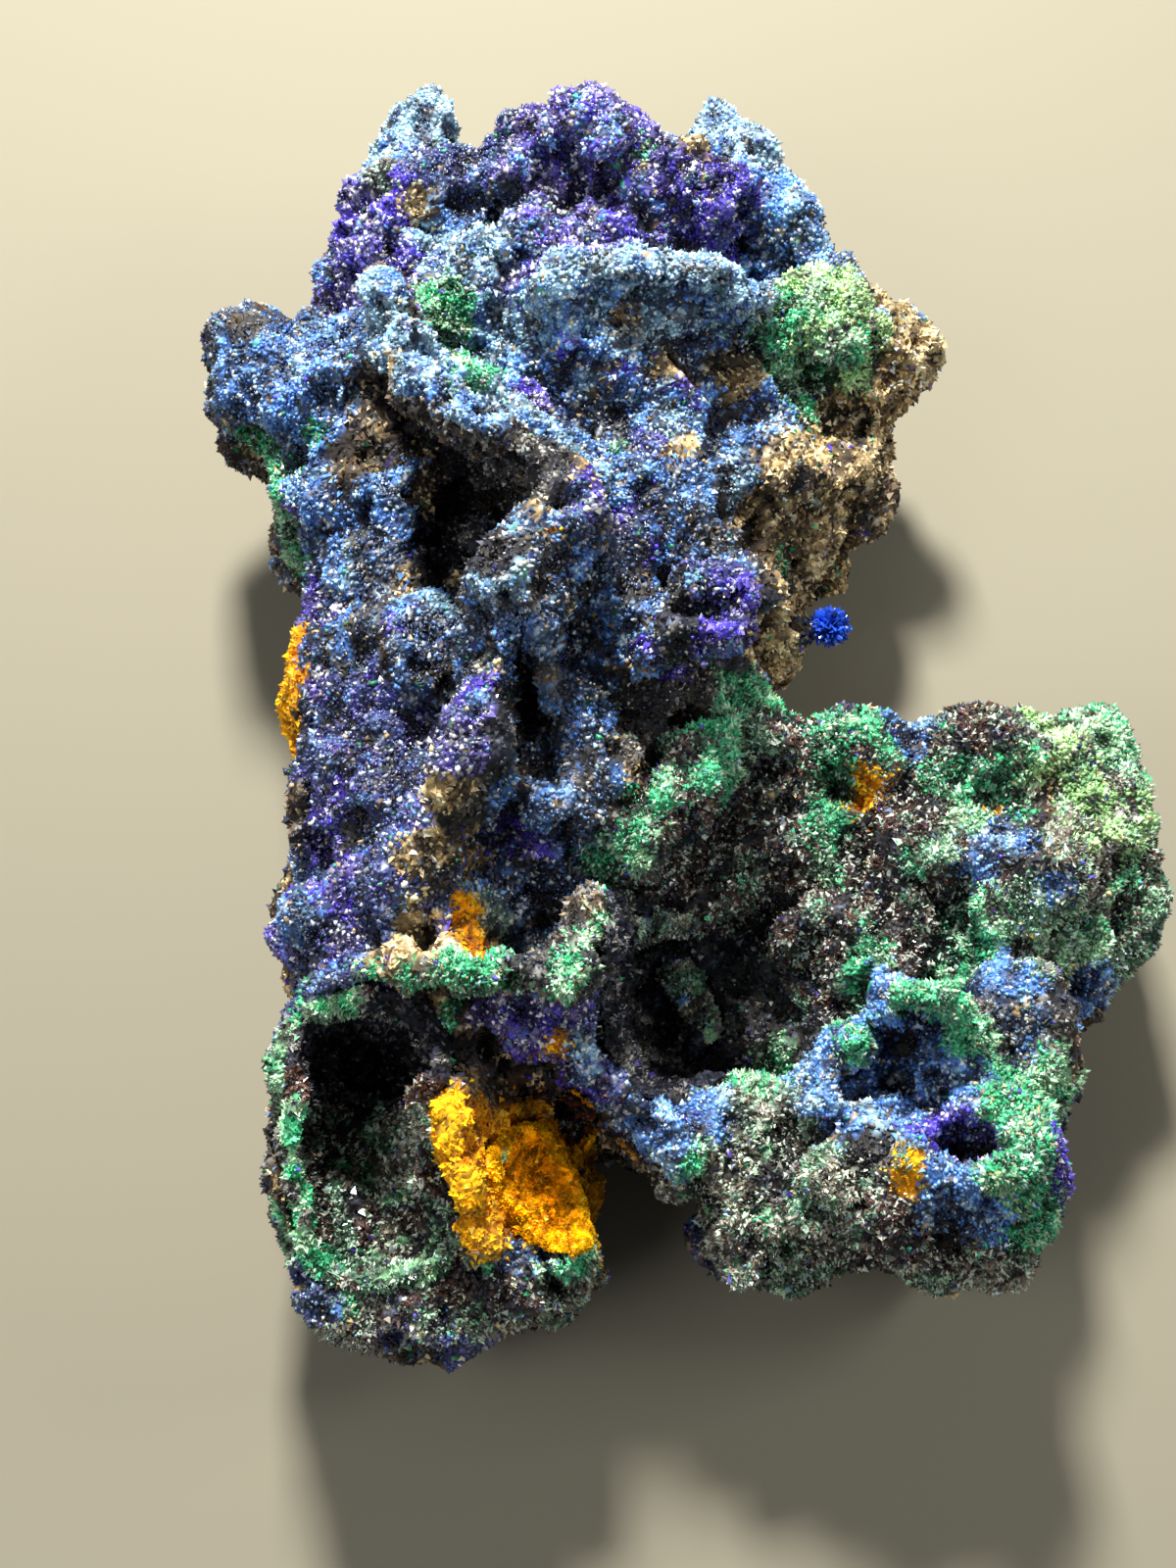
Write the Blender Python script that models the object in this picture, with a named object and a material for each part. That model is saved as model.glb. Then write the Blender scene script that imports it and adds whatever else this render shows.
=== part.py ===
"""Azurite specimen: blue azurite and green malachite grown over a broken lump of brown limonite.

The lump lies on its broken back with its show face up. +Y runs along its length, from the pocket end
to the boss end, and +X across it, towards the heavy side lobe. The back is flat, at height zero.

How it is made: angular chunks and thin walls are placed by hand, melted together into one skin,
roughened, and thinned to flat facets. Hollows are then cut into it, crystals with flat faces are joined
to it, and the back is cut flat. Each large hollow gets a crust of its own that follows its wall.

Places and sizes in the tables are in millimetres, and MM turns them into metres.
"""
import math
import random

import bmesh
import bpy
from mathutils import Matrix, Vector, noise
from mathutils.bvhtree import BVHTree

MM = 0.001
UP = Vector((0, 0, 1))

# Driving dimensions, in millimetres
SKIN_VOXEL = 0.9          # how finely the chunks and walls are melted together
LUMP_SIZE = 8.0           # width of the larger swellings of the skin
LUMP_HEIGHT = 4.5
KNUCKLE_SIZE = 4.5        # width of the smaller ones
KNUCKLE_HEIGHT = 1.6
CHUNK_OVERSIZE = 1.1      # an angular chunk's corners stand out this far, as its flats lie inside
ROCK_FACETS = 0.042       # share of the skin's triangles that the rock keeps
HOLLOW_VOXEL = 1.0
HOLLOW_FACETS = 0.08
HOLLOW_ROUGH_SIZE = 5.0
HOLLOW_ROUGHNESS = 1.3
PIT_ROUGH_SIZE = 3.0
PIT_ROUGHNESS = 0.5
CRUST_GAP = 0.35          # clearance between a crust and the wall that it lines
CRUST_DEPTH = 1.7         # how far a crust's free face stands off that wall
WALL_TOP = 1.3            # half the thickness of a wall at its crest
WALL_FOOT = 3.0           # and at its foot
WALL_DEPTH = 12.0
WALL_RIDGE = 0.4          # how far a crest's middle line stands above its edges
RIB_THICKNESS = 0.6       # as a share of the usual wall's
CRYSTAL_SEED = 11
CRYSTAL_SPREAD = (0.8, 1.25)  # shortest and longest, as a share of the patch's usual crystal
CRYSTAL_LEAN = 0.5        # how far a crystal may lean to a side, where its normal counts as 1
CRYSTAL_RISE = 0.6        # how much it leans upwards
CRYSTAL_ROOT = 0.55       # share of its length below the surface
BASE_BLOCK = 200.0        # side of the block that cuts the back flat
SKY = 100.0               # height from which the places for crystals are looked for

# Angular chunks that make up the mass: name, centre, half sizes
CHUNKS = (
    ("top boss", (-8, 46, 20), (8.5, 7, 11)),
    ("boss left shoulder", (-13, 42, 20), (4.5, 6, 9)),
    ("boss right shoulder", (1, 42, 20), (6.5, 6, 10)),
    ("top left knob", (-22, 50.5, 21), (2.6, 2.4, 3)),
    ("knob neck", (-24, 47.5, 20), (3.2, 3, 4)),
    ("left shoulder", (-22, 41.5, 18), (7.5, 7, 10)),
    ("shoulder slope", (-25.5, 36, 17), (6, 6, 10)),
    ("left wing", (-34, 27, 19), (7.5, 6.5, 8)),
    ("wing root", (-28, 24, 17), (8.5, 8, 13)),
    ("waist", (-25.5, 16, 15), (9.5, 9, 15)),
    ("left flank", (-24, 8.5, 14), (7.5, 7, 15)),
    ("cleft floor", (-15, 9, 11), (9, 9, 13)),
    ("upper core", (-10.5, 33, 16), (15, 9, 17)),
    ("middle core", (-7, 23.5, 16), (16, 10, 17)),
    ("lower body top", (-21, -0.5, 15), (12.5, 10, 17)),
    ("lower body", (-20.5, -11, 15), (12, 10, 17)),
    ("lower body foot", (-21, -20.5, 16), (12, 8, 16)),
    ("pocket body", (-22, -33, 14), (10.5, 11, 18)),
    ("pocket foot", (-21.5, -43.5, 12), (10, 9, 13)),
    ("chamber body", (-13.5, -41, 12), (7, 9, 13)),
    ("column top", (-4, 12, 17), (9.5, 10, 18)),
    ("column middle", (-5.5, 2.5, 16), (9, 10, 18)),
    ("column foot", (-9, -10.5, 16), (7.5, 9, 18)),
    ("vug left wall", (-7.5, -24, 13), (4, 8, 18)),
    ("right flank", (11.5, 31, 15), (8, 7, 13)),
    ("horn", (18.5, 30.5, 17), (5, 3.8, 7)),
    ("horn tip", (22, 31, 18), (2.2, 2.0, 3)),
    ("buff edge top", (17, 26, 13), (3.5, 5, 8)),
    ("buff edge middle", (15, 20, 12), (4.5, 5, 9)),
    ("buff edge low", (12, 14, 11), (4.5, 5, 8)),
    ("buff edge foot", (7.5, 7, 10), (4.5, 4.5, 8)),
    ("flank middle", (6, 19.5, 13), (9, 9, 15)),
    ("flank low", (4, 10, 12), (7, 8, 14)),
    ("junction", (0.5, -2, 12), (9, 7, 13)),
    ("lobe shoulder", (4.5, -7, 13), (8, 5.5, 13)),
    ("lobe slope upper", (8, -12.5, 9), (10, 6.5, 13)),
    ("lobe slope right", (16, -21, 9), (8, 9, 13)),
    ("small horn", (15.5, -5.5, 17), (3, 3.3, 8)),
    ("lobe rim left", (26, -7.5, 15), (7, 6, 12)),
    ("lobe rim right", (31.5, -8.5, 14), (7, 7, 11)),
    ("lobe bulge", (34.5, -15, 14), (6, 8, 10)),
    ("lobe right", (28, -16.5, 13), (8.5, 9, 14)),
    ("lobe body", (20.5, -14.5, 10), (10, 10, 14)),
    ("lobe low right", (32, -22, 12), (5, 5, 9)),
    ("lobe low", (26, -27, 12), (7, 6, 13)),
    ("loop floor", (17, -29.5, 10), (8, 6, 12)),
    ("knob neck right", (28, -32.5, 12), (5, 6, 12)),
    ("knob", (16, -40, 16), (11, 7, 14)),
    ("knob right", (24, -39, 16), (7, 7.5, 14)),
    ("knob low left", (8.5, -42.5, 13), (7, 6.5, 12)),
    ("knob base", (21, -44, 12), (8, 5, 12)),
    ("knob top left", (10.5, -35, 18), (4, 4, 11)),
    ("vug floor", (6, -24, 4), (16, 11, 8)),
    ("vug upper wall", (0, -15.5, 9), (8, 5, 12)),
    ("vug lower wall", (3, -36, 11), (8, 4, 13)),
    ("band root", (-4, -33, 10), (7, 4, 14)),
    ("back upper", (-9, 32, 2), (17, 12, 6)),
    ("back middle", (-13, 14, 2), (15, 14, 6)),
    ("back waist", (-14, -4, 2), (14, 12, 6)),
    ("back lower", (-19, -25, 2), (10, 16, 6)),
    ("back foot", (-17, -40, 2), (10, 9, 6)),
    ("back lobe", (12, -22, 2), (17, 13, 6)),
    ("back lobe right", (27, -19, 2), (9, 10, 6)),
    ("back knob", (18, -37, 2), (11, 8, 6)),
)

# Walls and ridges: name, crest line, thickness as a share of the usual, lean towards -Y
WALLS = (
    ("fin", ((-22.5, 16, 40), (-20, 17, 42), (-16.5, 14.5, 44), (-13, 11.5, 44), (-7, 8.5, 42)), 1.0, 0.4),
    ("upper lip", ((-23.5, 31, 34), (-22, 23, 38), (-18.5, 21, 40), (-16, 18.5, 40)), 1.0, 0.0),
    ("rib", ((-7, 8.5, 42), (-11, 4, 43), (-13.5, -0.5, 43), (-13, -4, 42), (-15, -9, 41),
             (-19, -15.5, 38), (-23, -22, 33)), 1.2, 0.0),
    ("upper finger", ((0, 1.5, 36), (3, 1, 38), (6, 2, 36)), 0.9, 0.4),
    ("lower finger", ((-3.5, -4, 37), (-0.5, -3, 38), (2, -2, 38), (4.5, -0.5, 36)), 0.9, 0.4),
    ("ledge", ((-13.5, 27, 35), (-9.5, 28.5, 37), (-4, 29, 38), (1, 29.5, 37), (7, 28.5, 33)), 1.2, 0.0),
    ("pocket arch", ((-29.5, -30.5, 28), (-28, -28, 31), (-25.5, -26.5, 33), (-21.5, -26.5, 35),
                     (-15, -26.5, 36), (-8, -26.5, 35), (-6.5, -19, 34)), 0.9, 0.0),
    ("pocket side", ((-29.5, -30.5, 28), (-30, -35, 26), (-29.5, -40.5, 25), (-28.5, -46, 23),
                     (-26.5, -50, 21), (-22, -51.5, 20), (-17, -51, 20), (-12.5, -49, 22),
                     (-6.5, -45, 24)), 0.9, 0.0),
    ("partition", ((-17, -34.5, 30), (-17, -39.5, 31), (-16, -44, 30), (-14, -47.5, 27)), 0.9, 0.0),
    ("vein rim", ((-4.5, -16, 30), (-3, -15, 30), (-0.5, -12, 30), (2, -8.5, 29), (3.5, -3.5, 26)), 1.0, 0.0),
    ("loop", ((13, -31.5, 26), (13.5, -27.5, 31), (17, -27.5, 32), (21, -29, 31), (23, -32, 28)), 0.9, 0.0),
    ("blue band", ((-13.5, -29, 28), (-9.5, -30.5, 28), (-6, -32.5, 28), (-3.5, -35, 27),
                   (1.5, -40.5, 24)), 1.2, 0.0),
    ("top right crest", ((3, 51, 24), (6.5, 46, 26), (9.5, 41, 26), (11, 36.5, 24)), 1.4, 0.0),
)

# Small hollows, each one ball: name, centre, radii
PITS = (
    ("cleft under the fin", (-17, 8.5, 38), (6.5, 3.6, 11)),
    ("recess right of the rib", (-12, -7, 38), (1.8, 5.5, 9)),
    ("dark gap", (0.5, -4.5, 30), (3, 1.8, 9)),
    ("finger gap", (1.5, 0, 34), (4, 1.2, 8)),
    ("notch left of the boss", (-14.5, 39, 32), (2, 3.5, 8)),
    ("brown recess", (-21, 39, 30), (4, 1.8, 7)),
    ("small hollow", (-19, 21, 38), (1.8, 1.8, 5)),
    ("violet pit", (-26.5, -16, 32), (2.5, 2, 4)),
    ("buff recess", (-19, -23.5, 36), (1.8, 3.2, 6)),
    ("knob hole", (21, -38.5, 31), (3.6, 2.2, 10)),
    ("knob left pit", (6.5, -42, 26), (2.6, 2.4, 5)),
    ("loop hole", (17, -30, 28), (3.8, 1.6, 8)),
    ("bottom notch", (-3, -46.5, 12), (3.2, 5, 22)),
    ("flank notch", (16, 6, 12), (5.5, 7.5, 20)),
)

# Large hollows, each melted from its balls, and each lined with a crust
LEFT_POCKET = (
    ((-23.5, -32, 26), (6.8, 5.5, 17)),
    ((-24.5, -38.5, 25), (6.6, 7, 12)),
    ((-23, -44.5, 23), (7.2, 5.5, 8)),
)
OCHRE_CHAMBER = (
    ((-9.5, -40.5, 29), (6.4, 8, 11)),
    ((-8.5, -36.5, 22), (2.6, 3.4, 12)),
)
RIGHT_VUG = (
    ((-0.5, -26.5, 26), (6.8, 9, 20)),
    ((8, -24.5, 30), (8, 7.5, 16)),
)
VUG_RIB = ((-4.5, -16.5, 25), (-3, -19, 20), (0, -22.5, 17), (2.5, -26, 16), (5.5, -29.5, 16),
           (9.5, -33.5, 20))

# Patches of crystals large enough to count: name, middle, reach, number, thickness, length
CRYSTAL_PATCHES = (
    ("boss", (-8, 44), (9, 7), 12, 1.6, 4.2),
    ("boss right", (3, 42), (5, 4), 4, 1.4, 3.6),
    ("upper finger", (3, 1.5), (3.5, 0.8), 3, 1.0, 2.6),
    ("lower finger", (0.5, -2.5), (4, 0.8), 4, 1.0, 2.6),
    ("lower face", (-25, -12), (4.5, 8), 5, 1.5, 3.2),
    ("knob crown", (22, -35), (4, 3), 3, 1.3, 3.2),
)

ROSETTE_CENTRE = (13.5, 6.5, 15)
ROSETTE_RADIUS = 2.0
ROSETTE_CRYSTALS = 9
ROSETTE_CRYSTAL_WIDTH = 0.7
ROSETTE_CORE = 0.75       # radius of the ball that joins its crystals, as a share of the rosette's
STALK = ((6, 5, 11), (9, 5.5, 13), (11, 6, 14.2))
STALK_RADIUS = 0.9
LEFT_POCKET_SEED, OCHRE_CHAMBER_SEED, RIGHT_VUG_SEED = 1, 2, 3
GOLDEN_TURN = math.pi * (3 - math.sqrt(5))


def clear_scene():
    """Take every object out of the file."""
    for item in list(bpy.data.objects):
        bpy.data.objects.remove(item, do_unlink=True)


def make_material(name, colour, roughness):
    """One plain finish with the mineral's colour and roughness."""
    material = bpy.data.materials.new(name)
    material.use_nodes = True
    shader = material.node_tree.nodes["Principled BSDF"]
    shader.inputs["Base Color"].default_value = (*colour, 1)
    shader.inputs["Roughness"].default_value = roughness
    shader.inputs["Metallic"].default_value = 0
    material.diffuse_color = (*colour, 1)
    return material


def make_object(name, form, material=None):
    """Turn a bmesh into an object; one without a material is a guide that the piece leaves out."""
    bmesh.ops.recalc_face_normals(form, faces=form.faces)
    mesh = bpy.data.meshes.new(name)
    form.to_mesh(mesh)
    form.free()
    item = bpy.data.objects.new(name, mesh)
    bpy.context.collection.objects.link(item)
    if material:
        mesh.materials.append(material)
    else:
        item.hide_render = True
        item.display_type = "WIRE"
    return item


def add_ball(form, centre, radii, detail=3):
    """Add one ellipsoid to a form."""
    place = Matrix.Translation(Vector(centre) * MM) @ Matrix.Diagonal((*[r * MM for r in radii], 1))
    bmesh.ops.create_icosphere(form, subdivisions=detail, radius=1, matrix=place)


def add_chunk(form, centre, radii, turn):
    """Add one angular chunk: a twenty-sided body, turned about the upright and stretched."""
    size = Matrix.Diagonal((*[r * CHUNK_OVERSIZE * MM for r in radii], 1))
    spin = Matrix.Rotation(turn, 4, Vector((0.5, 0.3, 0.8)).normalized())
    place = Matrix.Translation(Vector(centre) * MM) @ size @ spin
    bmesh.ops.create_icosphere(form, subdivisions=1, radius=1, matrix=place)


def smooth_line(points, steps=4):
    """Points along a Catmull-Rom curve through the given ones."""
    points = [Vector(p) * MM for p in points]
    ends = [points[0] * 2 - points[1], *points, points[-1] * 2 - points[-2]]
    line = []
    for a, b, c, d in zip(ends, ends[1:], ends[2:], ends[3:]):
        for step in range(steps):
            t = step / steps
            bend = (2 * a - 5 * b + 4 * c - d) * t * t + (3 * b - a - 3 * c + d) * t ** 3
            line.append((2 * b + (c - a) * t + bend) / 2)
    return line + [points[-1]]


def add_loft(form, line, section):
    """Carry a closed section along a line; section gives the ring of corners at one station."""
    rings = []
    for i, point in enumerate(line):
        along = (line[min(i + 1, len(line) - 1)] - line[max(i - 1, 0)]).normalized()
        rings.append([form.verts.new(corner) for corner in section(point, along)])
    for near, far in zip(rings, rings[1:]):
        for i in range(len(near)):
            form.faces.new((near[i - 1], near[i], far[i], far[i - 1]))
    form.faces.new(rings[0])
    form.faces.new(reversed(rings[-1]))


def add_wall(form, crest, thickness, lean):
    """Add one wall that hangs from its crest line and widens to its foot."""
    def section(point, along):
        side = along.cross(UP).normalized()
        foot = point - UP * WALL_DEPTH * MM + Vector((0, lean * WALL_DEPTH * MM, 0))
        top = side * WALL_TOP * thickness * MM
        bottom = side * WALL_FOOT * thickness * MM
        return point - top, point + UP * WALL_RIDGE * MM, point + top, foot + bottom, foot - bottom
    add_loft(form, smooth_line(crest), section)


def add_tube(form, centre_line, radius, sides=6):
    """Add one round bar along a line."""
    def section(point, along):
        side = along.cross(UP).normalized()
        other = along.cross(side)
        turns = [2 * math.pi * i / sides for i in range(sides)]
        return [point + (side * math.cos(t) + other * math.sin(t)) * radius * MM for t in turns]
    add_loft(form, smooth_line(centre_line), section)


def roughen(form, size, height, seed):
    """Push each corner in or out along its normal by smooth noise."""
    form.normal_update()
    shift = Vector((seed * 7.1, seed * 3.7, seed * 5.3))
    moves = [(v, v.normal * noise.noise(v.co / (size * MM) + shift) * height * MM) for v in form.verts]
    for corner, move in moves:
        corner.co += move


def add_remesh(item, voxel):
    """Melt overlapping shapes into one skin."""
    remesh = item.modifiers.new("Melt", "REMESH")
    remesh.mode = "VOXEL"
    remesh.voxel_size = voxel * MM


def add_roughness(item, name, kind, size, height):
    """Swell the skin along its normals by a noise texture."""
    texture = bpy.data.textures.new(name, kind)
    texture.noise_scale = size * MM
    displace = item.modifiers.new(name, "DISPLACE")
    displace.texture = texture
    displace.texture_coords = "LOCAL"
    displace.strength = height * MM


def add_decimate(item, share):
    """Thin the skin to flat facets."""
    decimate = item.modifiers.new("Facets", "DECIMATE")
    decimate.ratio = share


def add_boolean(item, other, operation, solver="EXACT"):
    """Join, cut or keep the overlap with another form."""
    boolean = item.modifiers.new(operation.title(), "BOOLEAN")
    boolean.operation = operation
    boolean.solver = solver
    boolean.object = other
    return boolean


def finished_form(item):
    """The item's mesh with its modifiers, as a bmesh."""
    form = bmesh.new()
    form.from_object(item, bpy.context.evaluated_depsgraph_get())
    return form


def keep_largest_piece(form):
    """Take away the loose chips that a cut leaves beside the main piece."""
    left = set(form.verts)
    pieces = []
    while left:
        piece = {left.pop()}
        edge = list(piece)
        while edge:
            near = {e.other_vert(v) for v in edge for e in v.link_edges} - piece
            piece |= near
            edge = list(near)
        left -= piece
        pieces.append(piece)
    pieces.sort(key=len)
    chips = [v for piece in pieces[:-1] for v in piece]
    bmesh.ops.delete(form, geom=chips, context="VERTS")


def make_blank():
    """The whole lump before anything is cut out of it."""
    form = bmesh.new()
    for i, (_, centre, radii) in enumerate(CHUNKS):
        add_chunk(form, centre, radii, i * GOLDEN_TURN)
    for _, crest, thickness, lean in WALLS:
        add_wall(form, crest, thickness, lean)
    add_tube(form, STALK, STALK_RADIUS)
    blank = make_object("blank", form)
    add_remesh(blank, SKIN_VOXEL)
    add_roughness(blank, "Lumps", "CLOUDS", LUMP_SIZE, LUMP_HEIGHT)
    add_roughness(blank, "Knuckles", "VORONOI", KNUCKLE_SIZE, -KNUCKLE_HEIGHT)
    add_remesh(blank, SKIN_VOXEL)
    add_decimate(blank, ROCK_FACETS)
    return blank


def make_pits():
    """Cutter for all the small hollows."""
    form = bmesh.new()
    for seed, (_, centre, radii) in enumerate(PITS):
        pit = bmesh.new()
        add_ball(pit, centre, radii, detail=2)
        roughen(pit, PIT_ROUGH_SIZE, PIT_ROUGHNESS, seed)
        scratch = bpy.data.meshes.new("pit")
        pit.to_mesh(scratch)
        pit.free()
        form.from_mesh(scratch)
        bpy.data.meshes.remove(scratch)
    return make_object("pits", form)


def make_hollow(name, balls, seed, inset=0.0):
    """Cutter for one large hollow: its balls melted together, thinned and roughened."""
    form = bmesh.new()
    for centre, radii in balls:
        add_ball(form, centre, [r - inset for r in radii])
    melted = make_object(name, form)
    add_remesh(melted, HOLLOW_VOXEL)
    add_decimate(melted, HOLLOW_FACETS)
    form = finished_form(melted)
    bpy.data.objects.remove(melted, do_unlink=True)
    roughen(form, HOLLOW_ROUGH_SIZE, HOLLOW_ROUGHNESS, seed)
    return make_object(name, form)


def make_shrunk(hollow, depth):
    """A copy of a hollow's cutter, drawn in from its wall by the same depth everywhere."""
    form = bmesh.new()
    form.from_mesh(hollow.data)
    form.normal_update()
    moves = [(v, v.normal * depth * MM) for v in form.verts]
    for corner, move in moves:
        corner.co -= move
    return make_object(hollow.name + " shrunk", form)


def make_crust(name, hollow, balls, seed, blank, material, rib=None):
    """The crust on a hollow's wall: from the gap to the crust's free face, kept inside the lump.

    A rib, where there is one, is a thin wall that the crust grew across the hollow's floor.
    """
    crust = make_shrunk(hollow, CRUST_GAP)
    inner = make_hollow("inner face", balls, seed, CRUST_DEPTH)
    if rib:
        form = bmesh.new()
        add_wall(form, rib, RIB_THICKNESS, 0.0)
        add_boolean(inner, make_object("rib", form), "DIFFERENCE", "MANIFOLD")
    add_boolean(crust, inner, "DIFFERENCE", "MANIFOLD")
    add_boolean(crust, blank, "INTERSECT", "MANIFOLD")
    form = finished_form(crust)
    for guide in (crust, inner):
        bpy.data.objects.remove(guide, do_unlink=True)
    keep_largest_piece(form)
    return make_object(name, form, material)


def add_crystal(form, root, direction, thickness, length, turn):
    """Add one four-sided crystal with a roof-shaped end, its root below the surface."""
    axis = direction.normalized()
    side = axis.cross(Vector((0.3, 0.9, 0.2))).normalized()
    side = Matrix.Rotation(turn, 3, axis) @ side
    other = axis.cross(side)
    half, tall = thickness * MM, length * MM
    outline = ((1, 0.6), (-1, 0.6), (-1, -0.6), (1, -0.6))
    low = [form.verts.new(root + (side * x + other * y) * half * 0.8) for x, y in outline]
    high = [form.verts.new(root + axis * tall * 0.7 + (side * x + other * y) * half) for x, y in outline]
    roof = [form.verts.new(root + axis * tall + side * x * half) for x in (0.5, -0.5)]
    for i in range(4):
        form.faces.new((low[i - 1], low[i], high[i], high[i - 1]))
    form.faces.new(reversed(low))
    form.faces.new((high[0], high[1], roof[1], roof[0]))
    form.faces.new((high[1], high[2], roof[1]))
    form.faces.new((high[2], high[3], roof[0], roof[1]))
    form.faces.new((high[3], high[0], roof[0]))


def make_crystals(rock):
    """The larger crystals, set on the rock from above and leaning with its surface, as one form."""
    chance = random.Random(CRYSTAL_SEED)
    surface = BVHTree.FromObject(rock, bpy.context.evaluated_depsgraph_get())
    forms = (bmesh.new(), bmesh.new())
    for _, middle, reach, number, thickness, length in CRYSTAL_PATCHES:
        for i in range(number):
            spread = math.sqrt((i + 0.5) / number)
            x = middle[0] + reach[0] * spread * math.cos(i * GOLDEN_TURN)
            y = middle[1] + reach[1] * spread * math.sin(i * GOLDEN_TURN)
            point, normal, _, _ = surface.ray_cast(Vector((x, y, SKY)) * MM, -UP)
            scale = chance.uniform(*CRYSTAL_SPREAD)
            aside = [chance.uniform(-CRYSTAL_LEAN, CRYSTAL_LEAN) for _ in range(2)]
            direction = (normal + Vector((*aside, CRYSTAL_RISE))).normalized()
            root = point - direction * CRYSTAL_ROOT * length * scale * MM
            form = forms[1 if forms[0].verts else 0]
            add_crystal(form, root, direction, thickness * scale, length * scale, chance.uniform(0, math.pi))
    return join_tangled(*[make_object("crystals", form) for form in forms])


def join_tangled(first, others):
    """Join one clean form and one whose pieces cross each other into a single clean form."""
    add_boolean(first, others, "UNION").use_self = True
    form = finished_form(first)
    for guide in (first, others):
        bpy.data.objects.remove(guide, do_unlink=True)
    return make_object("joined", form)


def make_base_block():
    """Block under height zero that cuts the back flat."""
    form = bmesh.new()
    bmesh.ops.create_cube(form, size=BASE_BLOCK * MM)
    bmesh.ops.translate(form, verts=form.verts, vec=(0, 0, -BASE_BLOCK / 2 * MM))
    return make_object("base block", form)


def make_rock(blank, hollows, pits, base, material):
    """The lump with its hollows, pits and crystals, cut flat at the back.

    The thinned skin crosses itself in places, where the exact solver drops the whole lump, so these
    cuts use the manifold solver.
    """
    rock = make_object("rock", finished_form(blank), material)
    for cutter in (*hollows, pits):
        add_boolean(rock, cutter, "DIFFERENCE", "MANIFOLD")
    crystals = make_crystals(rock)
    add_boolean(rock, crystals, "UNION", "MANIFOLD")
    add_boolean(rock, base, "DIFFERENCE", "MANIFOLD")
    return rock


def make_rosette(material):
    """A ball of short crystals that points every way."""
    centre = Vector(ROSETTE_CENTRE) * MM
    core = bmesh.new()
    bmesh.ops.create_icosphere(core, subdivisions=1, radius=ROSETTE_RADIUS * ROSETTE_CORE * MM,
                               matrix=Matrix.Translation(centre))
    spokes = bmesh.new()
    for i in range(ROSETTE_CRYSTALS):
        height = 1 - 2 * (i + 0.5) / ROSETTE_CRYSTALS
        ring = math.sqrt(1 - height * height)
        direction = Vector((ring * math.cos(i * GOLDEN_TURN), ring * math.sin(i * GOLDEN_TURN), height))
        add_crystal(spokes, centre, direction, ROSETTE_CRYSTAL_WIDTH, ROSETTE_RADIUS, i * GOLDEN_TURN)
    rosette = join_tangled(make_object("core", core), make_object("spokes", spokes))
    rosette.name = rosette.data.name = "azurite_rosette"
    rosette.data.materials.append(material)
    rosette.hide_render = False
    rosette.display_type = "TEXTURED"
    return rosette


def main():
    """Build every piece of the specimen."""
    clear_scene()
    azurite_rock = make_material("azurite_on_limonite", (0.05, 0.08, 0.32), 0.55)
    drusy_crust = make_material("dark_drusy_crust", (0.06, 0.05, 0.045), 0.4)
    ochre = make_material("ochre_limonite", (0.75, 0.36, 0.02), 0.9)
    azurite = make_material("bright_azurite", (0.03, 0.1, 0.65), 0.35)
    blank = make_blank()
    pits = make_pits()
    base = make_base_block()
    left_pocket = make_hollow("left pocket", LEFT_POCKET, LEFT_POCKET_SEED)
    chamber = make_hollow("ochre chamber", OCHRE_CHAMBER, OCHRE_CHAMBER_SEED)
    vug = make_hollow("right vug", RIGHT_VUG, RIGHT_VUG_SEED)
    make_rock(blank, (left_pocket, chamber, vug), pits, base, azurite_rock)
    make_crust("left_pocket_crust", left_pocket, LEFT_POCKET, LEFT_POCKET_SEED, blank, drusy_crust)
    make_crust("ochre_lining", chamber, OCHRE_CHAMBER, OCHRE_CHAMBER_SEED, blank, ochre)
    make_crust("right_vug_crust", vug, RIGHT_VUG, RIGHT_VUG_SEED, blank, drusy_crust, VUG_RIB)
    make_rosette(azurite)


main()
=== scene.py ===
# %% [markdown]
# Azurite specimen
# The real piece is a lump of brown limonite, about 11 cm long, that blue azurite and green malachite
# have grown over. Three open hollows are lined with crystals. This lesson dresses a plain solid of it:
# a finer skin with relief, nearly two hundred thousand small crystals, and colours placed as minerals
# grow.

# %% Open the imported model
import math

import bmesh
import bpy
import numpy as np
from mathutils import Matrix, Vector
from mathutils.bvhtree import BVHTree


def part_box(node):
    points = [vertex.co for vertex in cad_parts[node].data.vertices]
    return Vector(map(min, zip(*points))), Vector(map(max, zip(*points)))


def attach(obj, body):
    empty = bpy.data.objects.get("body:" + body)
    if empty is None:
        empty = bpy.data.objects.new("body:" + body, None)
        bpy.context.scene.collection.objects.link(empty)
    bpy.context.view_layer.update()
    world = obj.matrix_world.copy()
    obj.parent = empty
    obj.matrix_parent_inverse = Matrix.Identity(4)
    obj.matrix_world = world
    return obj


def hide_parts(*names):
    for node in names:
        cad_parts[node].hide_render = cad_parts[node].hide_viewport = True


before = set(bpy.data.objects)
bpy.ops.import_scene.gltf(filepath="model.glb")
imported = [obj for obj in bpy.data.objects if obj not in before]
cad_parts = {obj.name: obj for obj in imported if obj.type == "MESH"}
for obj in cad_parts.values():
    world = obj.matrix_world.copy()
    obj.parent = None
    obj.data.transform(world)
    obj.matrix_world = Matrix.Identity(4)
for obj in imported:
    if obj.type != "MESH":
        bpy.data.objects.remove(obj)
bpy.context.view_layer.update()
MM = 0.001
print("solids:", sorted(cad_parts))

# %% [markdown]
# The camera comes first, because the mineral map further down is placed by what it sees. The specimen
# lies on its back, so the camera looks down on its show face, fifteen degrees off the upright.
# A long lens could be used from further away; this one is close, as the strong perspective shows.

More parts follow.
